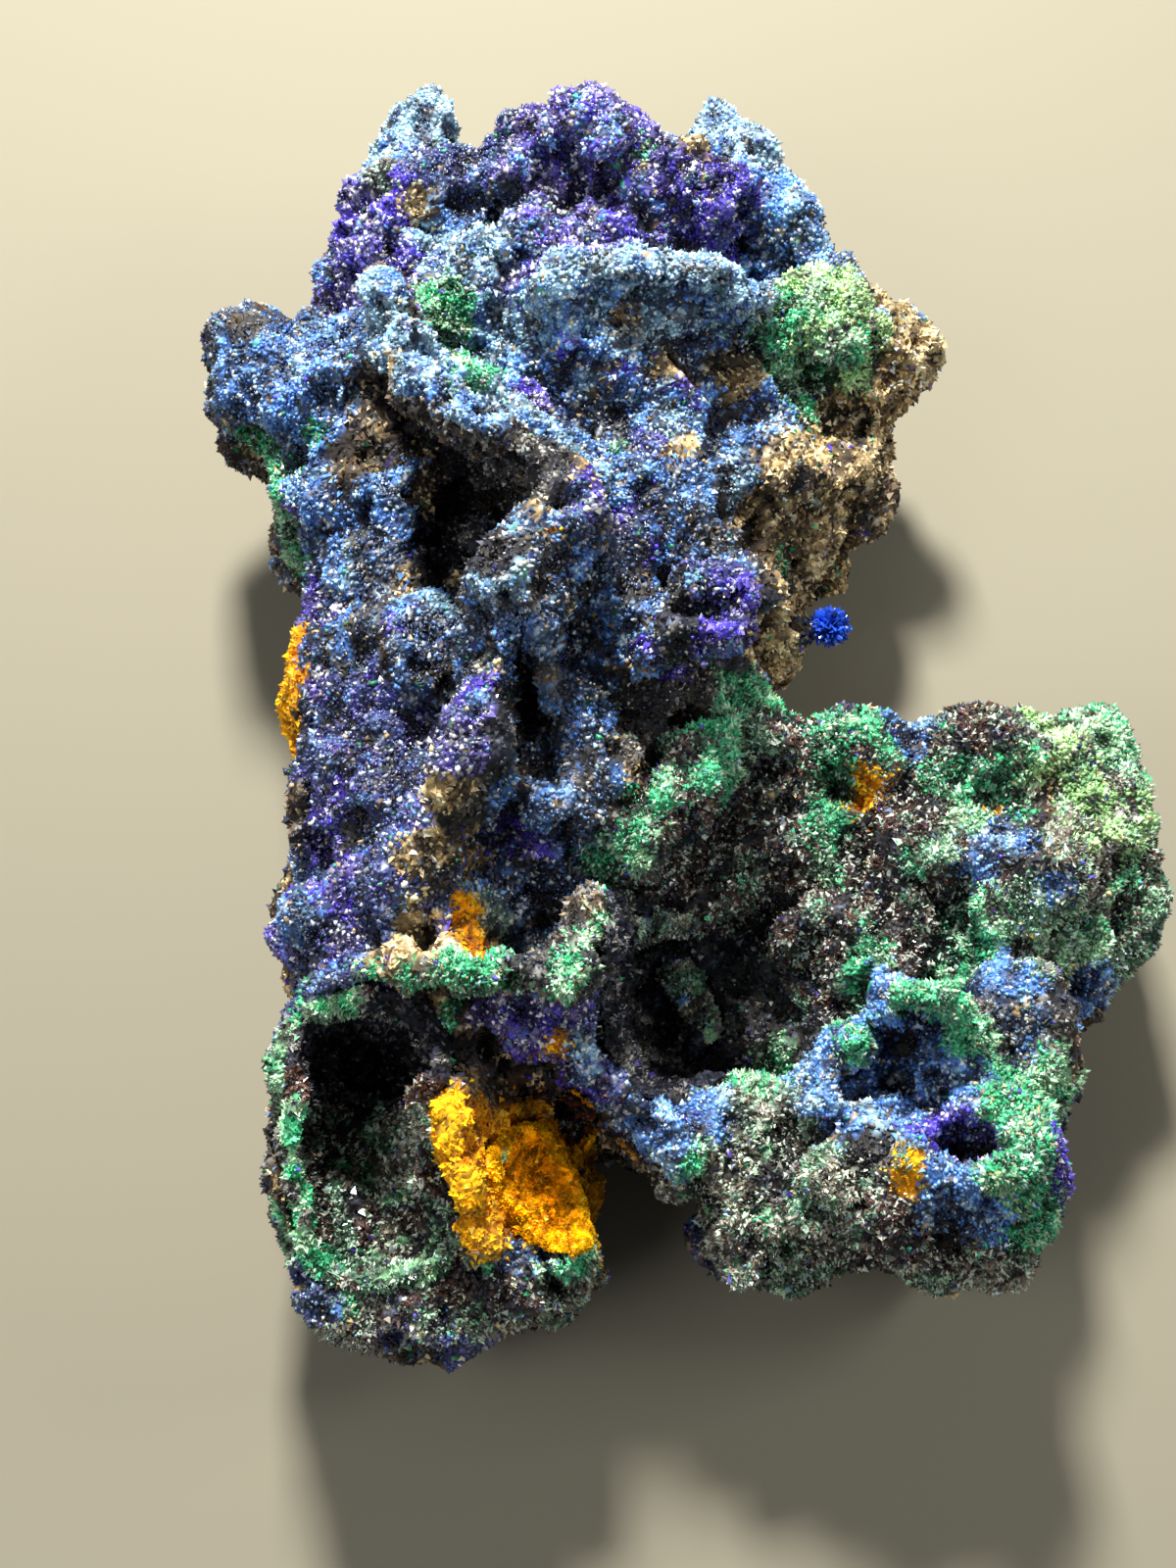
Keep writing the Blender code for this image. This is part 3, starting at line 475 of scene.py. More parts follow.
# %% Read the mineral map at any point
EDGE_WANDER = ((5.0, 1.0), (1.6, 0.55), (0.8, 0.4))  # size and push of the noise at zone edges, in mm
CLUMP = 1.3                                 # mm across the clumps of a zone's companion minerals
COMPANION_LEVELS = (0.26, 0.34)             # noise above which the first and the second take over
MAP_REACH = 2.6                             # a patch counts out to this many of its reaches
BACK_MIX = ((0.5, 9.0, 5), (0.25, 2.5, 6))  # share, size in mm and seed of the noises that mix the back
MAP_BATCH = 50000                           # points that are held against all patches at a time


def mixed_noise(points, parts):
    """The sum of several noises, each share × noise of its size and seed."""
    return sum(share * noise(points, size, seed) for share, size, seed in parts)


def reaches_to(points, spots):
    """Distance from every point to every patch in the patch's reaches, by |p|² - 2pc + |c|² in mm."""
    here, there = points / MM, spots[:, :3] / MM
    square = np.sum(here ** 2, axis=1)[:, None] - 2 * here @ there.T + np.sum(there ** 2, axis=1)
    return np.sqrt(np.maximum(square, 0)) / (spots[:, 3] / MM)


def zones_at(points, spots, default=BACK_ZONES, seed=7):
    """Zone number of each point: the nearest patch's, or the default zones' where no patch reaches."""
    where = points.copy()
    for size, push in EDGE_WANDER:
        where += noise_vectors(points, size, seed) * push * MM
    zone = np.empty(len(points), int)
    lost = np.empty(len(points), bool)
    for start in range(0, len(points), MAP_BATCH):
        batch = slice(start, start + MAP_BATCH)
        far = reaches_to(where[batch], spots)
        zone[batch] = spots[far.argmin(axis=1), 4]
        lost[batch] = far.min(axis=1) > MAP_REACH
    back = zone_numbers(default)
    pick = (mixed_noise(where, BACK_MIX) + 0.5) * len(back)
    zone = np.where(lost, back[np.clip(pick.astype(int), 0, len(back) - 1)], zone)
    for which, level in enumerate(COMPANION_LEVELS):
        zone = np.where(noise(points, CLUMP, 31 + which) > level, companions[zone, which], zone)
    return zone


def tints(zone, lift, glint_fleck):
    """Colour of each point: recess colour (painted shade) to body to ridge colour (partly painted highlight)
    as lift goes from -1 to 1, or the fleck colour, a painted glint.
    """
    recess_shade, body, ridge_dust_and_highlight, glint = (palette[zone, i] for i in range(4))
    low, high = np.clip(-lift, 0, 1)[:, None], np.clip(lift, 0, 1)[:, None]
    colour = body + (recess_shade - body) * low + (ridge_dust_and_highlight - body) * high
    return np.where(glint_fleck[:, None], glint, colour)


print("where no patch reaches:", ", ".join(sorted(set(BACK_ZONES))))

# %% [markdown]
# The skin of the lump replaces the plain solid. A copy of the solid is melted into even small squares,
# its hard facets are rubbed down, and relief is then worked out for every corner. Sculpting would do as
# well, but a formula gives the same rock on every run and can be made finer.

# %% Melt a solid into even squares
MERGE = 0.01                                # mm within which two corners are one


def fine_form(name, voxel):
    """Corners and four-sided faces of a solid's copy, merged and melted at the given voxel in mm."""
    form = bmesh.new()
    form.from_mesh(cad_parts[name].data)
    bmesh.ops.remove_doubles(form, verts=form.verts, dist=MERGE * MM)
    mesh = bpy.data.meshes.new("copy")
    form.to_mesh(mesh)
    form.free()
    copy = bpy.data.objects.new("copy", mesh)
    bpy.context.scene.collection.objects.link(copy)
    remesh = copy.modifiers.new("Melt", "REMESH")
    remesh.mode = "VOXEL"
    remesh.voxel_size = voxel * MM
    melted = copy.evaluated_get(bpy.context.evaluated_depsgraph_get()).to_mesh()
    corners = np.empty(len(melted.vertices) * 3, np.float32)
    melted.vertices.foreach_get("co", corners)
    faces = np.empty(len(melted.polygons) * 4, np.int32)
    melted.polygons.foreach_get("vertices", faces)
    bpy.data.objects.remove(copy, do_unlink=True)
    bpy.data.meshes.remove(mesh)
    return corners.reshape(-1, 3).astype(float), faces.reshape(-1, 4)


ROCK_VOXEL = 0.61                           # mm
rock_corners, rock_faces = fine_form("rock", ROCK_VOXEL)
rock_pairs = neighbour_pairs(rock_faces)
print("rock skin:", len(rock_corners), "corners,", len(rock_faces), "squares")

# %% Roughen the skin
FLOOR_BAND = 1.5                            # mm above the back in which relief fades in
FLAT_BACK = 0.05                            # mm below which a corner belongs to the back
CALM_PLACE = np.array((-25, -12, 30))       # middle of the evenly grained field, mm
CALM_REACH = 10.0                           # mm
CALM_SHARE = 0.45                           # how much weaker the relief is in its middle
RUB_ROUNDS = 2                              # rounds of smoothing that rub the facets down
# height in mm or share, size in mm and seed of each noise or set of knobs
SWELLS = ((0.6, 4.2, 1), (0.4, 1.9, 2), (0.28, 0.9, 15))
KNOBS = ((0.6, 2.6, 4), (0.55, 1.3, 14))
PITS = ((1.0, 3.2, 9), (0.25, 1.4, 10))
PUSHES = ((0.35, 3.0, 5), (0.34, 1.3, 6))
SINK = 0.6                                  # mm by which all is lowered, as the knobs only add
PIT_DEPTH = 1.5                             # mm
PIT_LEVELS = (0.32, 0.6)                    # noise at which a pit begins and is full
LIFTS = ((0.55, 4, 0.3), (0.7, 30, 1.2))    # share, rounds of smoothing and full height in mm


def lift_of(corners, pairs, normals, rounds, full):
    """How far each corner stands out of its surroundings, from -1 to 1; full is the height in mm for 1."""
    around = smoothed(corners, pairs, rounds)
    return np.clip(np.sum((corners - around) * normals, axis=1) / (full * MM), -1, 1)


def roughened(corners, faces, pairs):
    """Swell the rubbed form along its normals by noise and knobs of falling size, and sink pits into it."""
    base = smoothed(corners, pairs, RUB_ROUNDS)
    normals = corner_normals(base, faces)
    calm = 1 - CALM_SHARE * np.exp(-np.sum(((base / MM - CALM_PLACE) / CALM_REACH) ** 2, axis=1))
    height = mixed_noise(base, SWELLS) - SINK
    height += sum(high * knobs(base, size, seed) for high, size, seed in KNOBS)
    height -= PIT_DEPTH * smooth_step(*PIT_LEVELS, mixed_noise(base, PITS))
    push = sum(far * noise_vectors(base, size, seed) for far, size, seed in PUSHES)
    fade = smooth_step(0, FLOOR_BAND * MM, base[:, 2]) * calm
    moved = base + (normals * height[:, None] + push) * fade[:, None] * MM
    moved[:, 2] = np.where(corners[:, 2] < FLAT_BACK * MM, 0, np.maximum(moved[:, 2], 0))
    return moved


rock_corners = roughened(rock_corners, rock_faces, rock_pairs)
rock_normals = corner_normals(rock_corners, rock_faces)
# Lift darkens recesses with painted shade and pales ridges, partly as painted highlight.
rock_lift = sum(share * lift_of(rock_corners, rock_pairs, rock_normals, rounds, full)
                for share, rounds, full in LIFTS)
rock_zone = zones_at(rock_corners, map_spots)
print("relief spans", np.round(np.ptp(rock_corners, axis=0) / MM, 1), "mm")

# %% [markdown]
# Colour comes from an attribute named tint on every piece, so one mineral can run across the skin, the
# crystals and a crust. Two effects are shared: cells, which give the bare skin and crusts a fine grain
# with a small bump, and a stain, which clouds every mineral. Each material could hold its own nodes for
# them, but as node groups they are built once, and each material gives them its own values.

# %% Build the shared node groups
def new_group(name, inputs, outputs):
    """An empty shader node group with the named sockets."""
    group = bpy.data.node_groups.new(name, "ShaderNodeTree")
    for label, kind, value in inputs:
        socket = group.interface.new_socket(label, in_out="INPUT", socket_type="NodeSocket" + kind)
        if value is not None:
            socket.default_value = value
    for label, kind in outputs:
        group.interface.new_socket(label, in_out="OUTPUT", socket_type="NodeSocket" + kind)
    return group, group.nodes.new("NodeGroupInput"), group.nodes.new("NodeGroupOutput")


def add_node(tree, kind, inputs=None, **settings):
    """One node with its settings; inputs are values, or sockets of other nodes to link."""
    node = tree.nodes.new(kind)
    for key, value in settings.items():
        setattr(node, key, value)
    for key, value in (inputs or {}).items():
        if isinstance(value, bpy.types.NodeSocket):
            tree.links.new(value, node.inputs[key])
        else:
            node.inputs[key].default_value = value
    return node


def add_texture(group, into, kind, **inputs):
    """A texture over the Object coordinates, its scale 1 / size, with the size in mm."""
    place = add_node(group, "ShaderNodeTexCoord")
    scale = add_node(group, "ShaderNodeMath", {0: 1 / MM, 1: into.outputs["Size"]}, operation="DIVIDE")
    return add_node(group, kind, {"Vector": place.outputs["Object"], "Scale": scale.outputs["Value"],
                                  **inputs})


def add_range(group, value, low, high, new_low, new_high):
    """The value carried over from the range low to high to the range new_low to new_high."""
    return add_node(group, "ShaderNodeMapRange",
                    {"Value": value, "From Min": low, "From Max": high,
                     "To Min": new_low, "To Max": new_high}).outputs["Result"]


def add_varied(group, into, value):
    """Colour × (1 + depth × value)."""
    swing = add_node(group, "ShaderNodeMath", {0: value, 1: into.outputs["Depth"], 2: 1.0},
                     operation="MULTIPLY_ADD")
    return add_node(group, "ShaderNodeVectorMath",
                    {"Vector": into.outputs["Color"], "Scale": swing.outputs["Value"]},
                    operation="SCALE").outputs["Vector"]


CLOUD_RANGE = (0.3, 0.7)                    # noise at which the colour is brightest and darkest
STAIN_RANGE = (0.52, 0.66)                  # noise at which the stain begins and is full
MIX_SHARE, MIX_FIRST, MIX_SECOND, MIX_RESULT = 0, 6, 7, 2    # sockets of a Mix node that mixes colours


def build_cells():
    """Colour × (1 + depth × a random value for each cell), and a height that rounds every cell."""
    group, into, out = new_group(
        "mineral cells", [("Color", "Color", None), ("Size", "Float", 0.5), ("Depth", "Float", 0.3)],
        [("Color", "Color"), ("Height", "Float")])
    cells = add_texture(group, into, "ShaderNodeTexVoronoi")
    parts = add_node(group, "ShaderNodeSeparateColor", {"Color": cells.outputs["Color"]})
    even = add_range(group, parts.outputs["Red"], 0.0, 1.0, -1.0, 1.0)
    high = add_node(group, "ShaderNodeMath", {0: 1.0, 1: cells.outputs["Distance"]}, operation="SUBTRACT")
    group.links.new(add_varied(group, into, even), out.inputs["Color"])
    group.links.new(high.outputs["Value"], out.inputs["Height"])
    return group


def build_stain():
    """Colour × (1 + depth × noise), leaning to a stain where the same noise is high."""
    group, into, out = new_group(
        "mineral stain",
        [("Color", "Color", None), ("Size", "Float", 2.0), ("Depth", "Float", 0.3),
         ("Stain", "Color", (0.1, 0.06, 0.03, 1)), ("Share", "Float", 0.2)],
        [("Color", "Color")])
    cloud = add_texture(group, into, "ShaderNodeTexNoise", Detail=2.0).outputs["Fac"]
    even = add_range(group, cloud, *CLOUD_RANGE, 1.0, -1.0)
    spread = add_range(group, cloud, *STAIN_RANGE, 0.0, 1.0)
    share = add_node(group, "ShaderNodeMath", {0: spread, 1: into.outputs["Share"]}, operation="MULTIPLY")
    mixed = add_node(group, "ShaderNodeMix",
                     {MIX_SHARE: share.outputs["Value"], MIX_FIRST: add_varied(group, into, even),
                      MIX_SECOND: into.outputs["Stain"]}, data_type="RGBA")
    group.links.new(mixed.outputs[MIX_RESULT], out.inputs["Color"])
    return group


cell_group, stain_group = build_cells(), build_stain()
print("node groups:", cell_group.name, "and", stain_group.name)

# %% Make a material from the shared groups
CELL_SIZES = {"rock": 0.45, "crust": 0.5}   # mm
CELL_DEPTH = 0.6
CELL_BUMP, BUMP_HEIGHT = 0.8, 0.2           # strength, and height in mm


def mineral_material(name, size, depth, stain, share, specular, cell=None):
    """Principled shader: tint through the cells and the stain, roughness from the gloss attribute.

    size in mm and depth are those of the clouding, share is how much of it the stain takes.
    """
    material = bpy.data.materials.new(name)
    material.use_nodes = True
    tree = material.node_tree
    shader = tree.nodes["Principled BSDF"]
    gloss = add_node(tree, "ShaderNodeAttribute", attribute_name="gloss")
    colour = add_node(tree, "ShaderNodeAttribute", attribute_name="tint").outputs["Color"]
    if cell:
        cells = add_node(tree, "ShaderNodeGroup", {"Color": colour, "Size": cell, "Depth": CELL_DEPTH},
                         node_tree=cell_group)
        rough = add_node(tree, "ShaderNodeBump", {"Strength": CELL_BUMP, "Distance": BUMP_HEIGHT * MM,
                                                  "Height": cells.outputs["Height"]})
        tree.links.new(rough.outputs["Normal"], shader.inputs["Normal"])
        colour = cells.outputs["Color"]
    stained = add_node(tree, "ShaderNodeGroup",
                       {"Color": colour, "Size": size, "Depth": depth, "Stain": (*stain, 1), "Share": share},
                       node_tree=stain_group)
    tree.links.new(stained.outputs["Color"], shader.inputs["Base Color"])
    tree.links.new(gloss.outputs["Fac"], shader.inputs["Roughness"])
    shader.inputs["Specular IOR Level"].default_value = specular
    return material


rock_material = mineral_material("azurite on limonite", size=2.0, depth=0.35, stain=(0.03, 0.022, 0.015),
                                 share=0.5, specular=0.5, cell=CELL_SIZES["rock"])
crystal_material = mineral_material("azurite crystals", size=2.0, depth=0.3, stain=(0.015, 0.015, 0.04),
                                    share=0.4, specular=0.7)
green_material = mineral_material("malachite tufts", size=1.6, depth=0.35, stain=(0.02, 0.07, 0.03),
                                  share=0.3, specular=0.5)
crumb_material = mineral_material("limonite crumbs", size=1.6, depth=0.4, stain=(0.05, 0.035, 0.02),
                                  share=0.4, specular=0.35)
druse_material = mineral_material("dark druse", size=1.6, depth=0.4, stain=(0.015, 0.006, 0.004),
                                  share=0.4, specular=0.7)
crust_material = mineral_material("druse bed", size=1.6, depth=0.4, stain=(0.006, 0.003, 0.003),
                                  share=0.5, specular=0.3, cell=CELL_SIZES["crust"])
ochre_material = mineral_material("powdery ochre", size=0.9, depth=0.25, stain=(0.40, 0.11, 0.001),
                                  share=0.45, specular=0.05, cell=CELL_SIZES["crust"])
print(len(bpy.data.materials), "materials")

# %% Put arrays into a piece
def make_piece(name, corners, faces, tint, gloss, material, smooth=False):
    """A mesh from whole arrays, with its colours and gloss as attributes, riding on the one body."""
    sides = faces.shape[1]
    mesh = bpy.data.meshes.new(name)
    mesh.vertices.add(len(corners))
    mesh.vertices.foreach_set("co", corners.astype(np.float32).ravel())
    mesh.loops.add(faces.size)
    mesh.loops.foreach_set("vertex_index", faces.astype(np.int32).ravel())
    mesh.polygons.add(len(faces))
    mesh.polygons.foreach_set("loop_start", np.arange(0, faces.size, sides, dtype=np.int32))
    mesh.update(calc_edges=True)
    colours = mesh.color_attributes.new("tint", "FLOAT_COLOR", "POINT")
    rows = np.concatenate([tint, np.ones((len(tint), 1))], axis=1)
    colours.data.foreach_set("color", rows.astype(np.float32).ravel())
    mesh.attributes.new("gloss", "FLOAT", "POINT").data.foreach_set("value", gloss.astype(np.float32))
    if smooth:
        mesh.shade_smooth()
    else:
        mesh.shade_flat()
    mesh.materials.append(material)
    piece = bpy.data.objects.new(name, mesh)
    bpy.context.scene.collection.objects.link(piece)
    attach(piece, "root")
    print(name + ":", len(faces) * (sides - 2), "triangles")
    return piece


# %% [markdown]
# No zone is pure: here and there a grain of another mineral sits among its own. A texture could scatter
# them, but it would cut grains in two, so chance picks each grain whole. The skin is darker than the
# grains on it, a painted shade, because it shows only in the gaps between them.

# %% Colour the skin
SEED = 5                                    # another number scatters the grains anew
chance = np.random.default_rng(SEED)
# The black strays are specks of painted shade between the grains.
STRAYS = ("cream", "buff", "umber", "malachite", "powder", "ultramarine", "navy", "black and shade", "black and shade", "brown")
STRAY_SHARE = 0.07
MOTTLE = ((0.45, 1.7, 8), (0.3, 4.5, 19))   # share, size in mm and seed of the light and dark clouds
# The skin's darkness is painted shade, as it shows only in the gaps; its flecks are painted glints.
SKIN_PAINTED_SHADE = 0.7                            # how far the skin lies towards the recess colour
SKIN_GLINTS = 0.4                           # its flecks, against those of the grains
SKIN_DULL = 0.15                            # roughness added to that of the grains


def strayed(zone):
    """The zones with a share of them swapped for any of the stray minerals, but not ochre or the painted
    shade.
    """
    other = zone_numbers(STRAYS)[chance.integers(len(STRAYS), size=len(zone))]
    pure = np.isin(zone, zone_numbers(("ochre", "black and shade")))
    return np.where((chance.random(len(zone)) < STRAY_SHARE) & ~pure, other, zone)


rock_mottle = mixed_noise(rock_corners, MOTTLE)
skin_zone = strayed(rock_zone)
rock_glint = chance.random(len(rock_corners)) < glint_share[skin_zone] * SKIN_GLINTS
rock_tint = tints(skin_zone, rock_lift - SKIN_PAINTED_SHADE + rock_mottle, rock_glint)
rock_skin = make_piece("rock_skin", rock_corners, rock_faces, rock_tint,
                       zone_roughness[rock_zone] + SKIN_DULL, rock_material, smooth=True)
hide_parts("rock")

# %% [markdown]
# The sparkle comes from real small crystals, and from the painted glints of the pale flecks among them.
# One is a closed pyramid of three or four sides, its foot sunk in the skin, and thousands of copies are
# placed by arrays: a spot, an axis that leans off the normal, and a size. Particles would be lighter, but
# they would not be part of the finished mesh.

# %% Shape one crystal of each kind
def crystal_shape(sides, rings):
    """Corners (side, other, along) and triangles of a closed crystal: a point, rings of given height and
    radius whose corners stand at even turns, and a point."""
    turns = 2 * math.pi * np.arange(sides) / sides
    body = [np.stack([r * np.cos(turns), r * np.sin(turns), np.full(sides, h)], axis=1) for h, r in rings]
    corners = np.concatenate([[(0, 0, -0.5)], *body, [(0, 0, 1.0)]])
    here = np.arange(sides)
    after = (here + 1) % sides
    faces = [np.stack([np.zeros(sides, int), 1 + after, 1 + here], axis=1)]
    for k in range(len(rings) - 1):
        low, high = 1 + k * sides, 1 + (k + 1) * sides
        faces.append(np.stack([low + here, low + after, high + after], axis=1))
        faces.append(np.stack([low + here, high + after, high + here], axis=1))
    last, top = 1 + (len(rings) - 1) * sides, len(corners) - 1
    faces.append(np.stack([last + here, last + after, np.full(sides, top)], axis=1))
    return corners, np.concatenate(faces)


def chip_shape(sides):
    """Corners and triangles of a pyramid that is closed below: a ring at even turns and a point above."""
    turns = 2 * math.pi * np.arange(sides) / sides
    ring = np.stack([np.cos(turns), np.sin(turns), np.zeros(sides)], axis=1)
    here = np.arange(sides)
    slopes = np.stack([here, (here + 1) % sides, np.full(sides, sides)], axis=1)
    fan = np.arange(1, sides - 1)
    base = np.stack([np.zeros(sides - 2, int), fan + 1, fan], axis=1)
    return np.concatenate([ring, [(0, 0, 1.0)]]), np.concatenate([slopes, base])


BEAD = chip_shape(4)                                  # a small grain, round where it is shaded smooth
CHIP = chip_shape(3)                                  # a sharper splinter
BLADE = crystal_shape(4, [(-0.1, 0.9), (0.62, 1.0)])  # a blade with a blunt end
BALL = crystal_shape(12, [(-0.3, 0.6), (0.0, 0.9), (0.25, 1.0), (0.5, 0.9), (0.8, 0.6)])
print("faces a crystal:", len(BEAD[1]), len(CHIP[1]), len(BLADE[1]))


# %% Place copies of a crystal
def crystals(shape, spots, axes, length, width, flat):
    """Corners and faces of all copies: spot + side × width + other × width × flat + axis × length."""
    count = len(spots)
    axes = unit(axes)
    side = unit(np.cross(axes, unit(chance.normal(size=(count, 3)))))
    other = np.cross(axes, side)
    x, y, z = (shape[0][None, :, i, None] for i in range(3))
    place = spots[:, None] + x * (side * width[:, None])[:, None]
    place = place + y * (other * (width * flat)[:, None])[:, None] + z * (axes * length[:, None])[:, None]
    faces = shape[1][None] + (np.arange(count) * len(shape[0]))[:, None, None]
    return place.reshape(-1, 3), faces.reshape(-1, 3)


def sow(corners, faces, weight, count):
    """Random spots on a surface: faces picked by area × weight, then a random place on each."""
    size = np.linalg.norm(face_normals(corners, faces), axis=1) * weight
    face = np.searchsorted(np.cumsum(size), chance.random(count) * size.sum())
    u, v = chance.random((2, count, 1))
    a, b, c, d = (corners[faces[face, i]] for i in range(4))
    return (a * (1 - u) + b * u) * (1 - v) + (d * (1 - u) + c * u) * v, face


BACK_SHARE = 0.22           # how densely crystals grow on the flanks and back, against 1 on the show face
FACING = (-0.1, 0.3)        # cosine of the turn to the camera from which and at which they grow densely
ROOT_JITTER = 0.45          # mm by which a crystal's mineral may come from beside its root
SUNK = 0.2                  # share of its length by which a crystal's root lies in the skin
SIZE_SPREAD = 0.32          # spread of the logarithm of a crystal's width
SIZE_CAP = 1.7              # no crystal is more than this many spreads above the usual width
LENGTHS = (0.75, 1.25)      # range of a crystal's length, against the habit's
OFF_FLOOR = 0.8             # mm of clear space under the lowest crystal
# On ridges a crystal is paler, partly as painted highlight; beside the skin, whose darkness is painted
# shade, it is paler still.
LIFT_WEIGHT = 1.5           # how much paler the crystals on ridges are
PALER, PALE_SPREAD = 0.08, 0.4    # how much paler a crystal is than the skin, and the spread of it
TINT_SPREAD = 0.16          # spread of the logarithm of a crystal's brightness
GLOSS_SPREAD = 0.08         # spread of its roughness
SMOOTHEST = 0.12            # least roughness


def grow(name, shape, surface, wanted, material, count, size, stretch, flat, lean, smooth=False,
         spots_map=None):
    """Crystals of one habit on the parts of a surface whose zones are wanted.

    size is the usual width in mm and stretch the length's ratio to it, flat the ratio of its two widths,
    and lean the share of a random direction in the axis. A crystal's mineral is read from the map
    beside its root, or else from the surface under it.
    """
    corners, faces, normals, lift, zone = surface
    dense = np.array([wanted.get(kind, 0.0) for kind in ZONES])
    face_zone = zone[faces[:, 0]]
    facing = np.sum(normals[faces[:, 0]] * unit(eye - corners[faces[:, 0]]), axis=1)
    weight = dense[face_zone] * (BACK_SHARE + (1 - BACK_SHARE) * smooth_step(*FACING, facing))
    spots, face = sow(corners, faces, weight, count)
    up = unit(normals[faces[face, 0]] + normals[faces[face, 2]])
    axes = up + chance.normal(size=(count, 3)) * lean
    width = size * MM / 2 * np.exp(np.minimum(chance.normal(size=count), SIZE_CAP) * SIZE_SPREAD)
    length = width * 2 * stretch * chance.uniform(*LENGTHS, count)
    keep = spots[:, 2] > OFF_FLOOR * MM + length
    spots, axes, length, width, face = (part[keep] for part in (spots, axes, length, width, face))
    roots = spots - unit(axes) * (length * SUNK)[:, None]
    place, tris = crystals(shape, roots, axes, length, width, flat)
    here = face_zone[face]
    if spots_map is not None:
        here = zones_at(spots + chance.normal(size=spots.shape) * ROOT_JITTER * MM, spots_map)
    here = strayed(here)
    level = LIFT_WEIGHT * lift[faces[face, 0]] + PALER + chance.normal(size=len(face)) * PALE_SPREAD
    level += mixed_noise(spots, MOTTLE)
    glint_fleck = chance.random(len(face)) < glint_share[here]
    tint = tints(here, level, glint_fleck) * np.exp(chance.normal(size=(len(face), 1)) * TINT_SPREAD)
    gloss = np.clip(zone_roughness[here] + chance.normal(size=len(face)) * GLOSS_SPREAD, SMOOTHEST, 1)
    copies = len(shape[0])
    make_piece(name, place, tris, np.repeat(np.clip(tint, 0, 1), copies, axis=0),
               np.repeat(gloss, copies), material, smooth)


rock_surface = (rock_corners, rock_faces, rock_normals, rock_lift, rock_zone)
deep = {"violet": 1.0, "ultramarine": 1.0, "indigo": 1.2, "navy": 1.0, "black and shade": 0.25}
bright = {"violet": 1.0, "ultramarine": 0.6}
pale = {"cornflower": 1.0, "powder": 1.0, "grey green": 0.8, "umber": 0.6}
greens = {"malachite": 1.0, "pale green": 1.0, "yellow green": 1.0, "green druse": 0.5, "speckled": 0.5}
earths = {"cream": 1.0, "buff": 1.0, "brown": 0.7, "ochre": 1.0, "umber": 0.5, "speckled": 0.8}
drusy = {"druse": 1.0, "green druse": 0.8, "speckled": 0.7, "black and shade": 0.1}
grow("deep_azurite_crystals", BEAD, rock_surface, deep, crystal_material,
     count=32500, size=0.46, stretch=0.75, flat=0.85, lean=0.5, smooth=True, spots_map=map_spots)
grow("boss_crystals", BEAD, rock_surface, bright, crystal_material,
     count=4500, size=0.54, stretch=0.65, flat=0.75, lean=0.5, spots_map=map_spots)
grow("pale_azurite_crystals", BEAD, rock_surface, pale, crystal_material,
     count=32000, size=0.42, stretch=0.75, flat=0.85, lean=0.6, smooth=True, spots_map=map_spots)
grow("malachite_crystals", CHIP, rock_surface, greens, green_material,
     count=40000, size=0.42, stretch=1.0, flat=0.9, lean=0.5, smooth=True, spots_map=map_spots)
grow("limonite_crumbs", CHIP, rock_surface, earths, crumb_material,
     count=26000, size=0.48, stretch=0.7, flat=0.9, lean=0.7, spots_map=map_spots)
grow("druse_crystals", CHIP, rock_surface, drusy, druse_material,
     count=38000, size=0.44, stretch=0.8, flat=0.9, lean=0.5, spots_map=map_spots)

# %% [markdown]
# Each hollow has its own crust. The pocket and the vug are lined with a dark druse that glitters
# pale green, and the chamber with powdery ochre. They could be painted on the skin, but each has a gloss
# and a grain of its own, and edges that stand out a little. The crusts are melted from their solids as
# the skin was, with less relief, because they are thin.

# %% Line the hollows
POCKET_MAP = {
    "pale green": (
        (288, 1160, 1.3), (298, 1215, 1.3), (307, 1260, 1.3), (330, 1022, 1.3), (470, 1260, 1),
        (452, 1160, 0.9),
    ),
    "malachite": (
        (345, 1286, 1.4), (358, 1193, 1), (375, 1200, 0.8), (318, 1290, 1.2),
    ),
    # Black here is painted shade under the pocket's arch and below its shelf.
    "black and shade": (
        (360, 1050, 3.4), (420, 1050, 3.4), (460, 1050, 3), (400, 1090, 3), (335, 1090, 2.6),
        (435, 1268, 1.2), (330, 1190, 1.4), (460, 1095, 2.4),
    ),
    "druse": (
        (360, 1140, 2.6), (420, 1120, 2.6), (440, 1180, 2), (360, 1235, 2.4), (430, 1240, 2.4),
        (340, 1160, 2),
    ),
    "speckled": (
        (385, 1165, 2.6), (420, 1195, 2.8), (380, 1215, 2.4), (430, 1155, 2), (400, 1250, 2),
        (360, 1185, 1.6),
    ),
    "green druse": (
        (370, 1295, 2.2), (430, 1295, 2.6), (340, 1250, 1.8),
    ),
}
VUG_MAP = {
    # Black here is painted shade deep in the vug.
    "black and shade": (
        (640, 1000, 3.6), (680, 1090, 3.6), (650, 1050, 3.6), (690, 1040, 2.4),
    ),
    # The rib's patches are paler than the lining round it, partly as painted light, since the rib stands
    # deep in the vug.
    "speckled": (
        (668, 955, 1.7), (684, 980, 1.7), (700, 1002, 1.7), (718, 1024, 1.7), (736, 1040, 1.7),
    ),
    "grey green": (
        (662, 944, 1.1), (708, 1012, 1.1), (728, 1032, 1.1),
    ),
    "powder": (
        (700, 1016, 0.8),
    ),
}
OCHRE_MAP = {
    "ochre": (
        (520, 1220, 5), (540, 1250, 4), (600, 1240, 4),
    ),
    # The dark oval at the top of the chamber is painted shade.
    "black and shade": (
        (572, 1122, 1.3), (582, 1146, 1.3),
    ),
    "yellow green": (
        (515, 1180, 0.8),
    ),
}

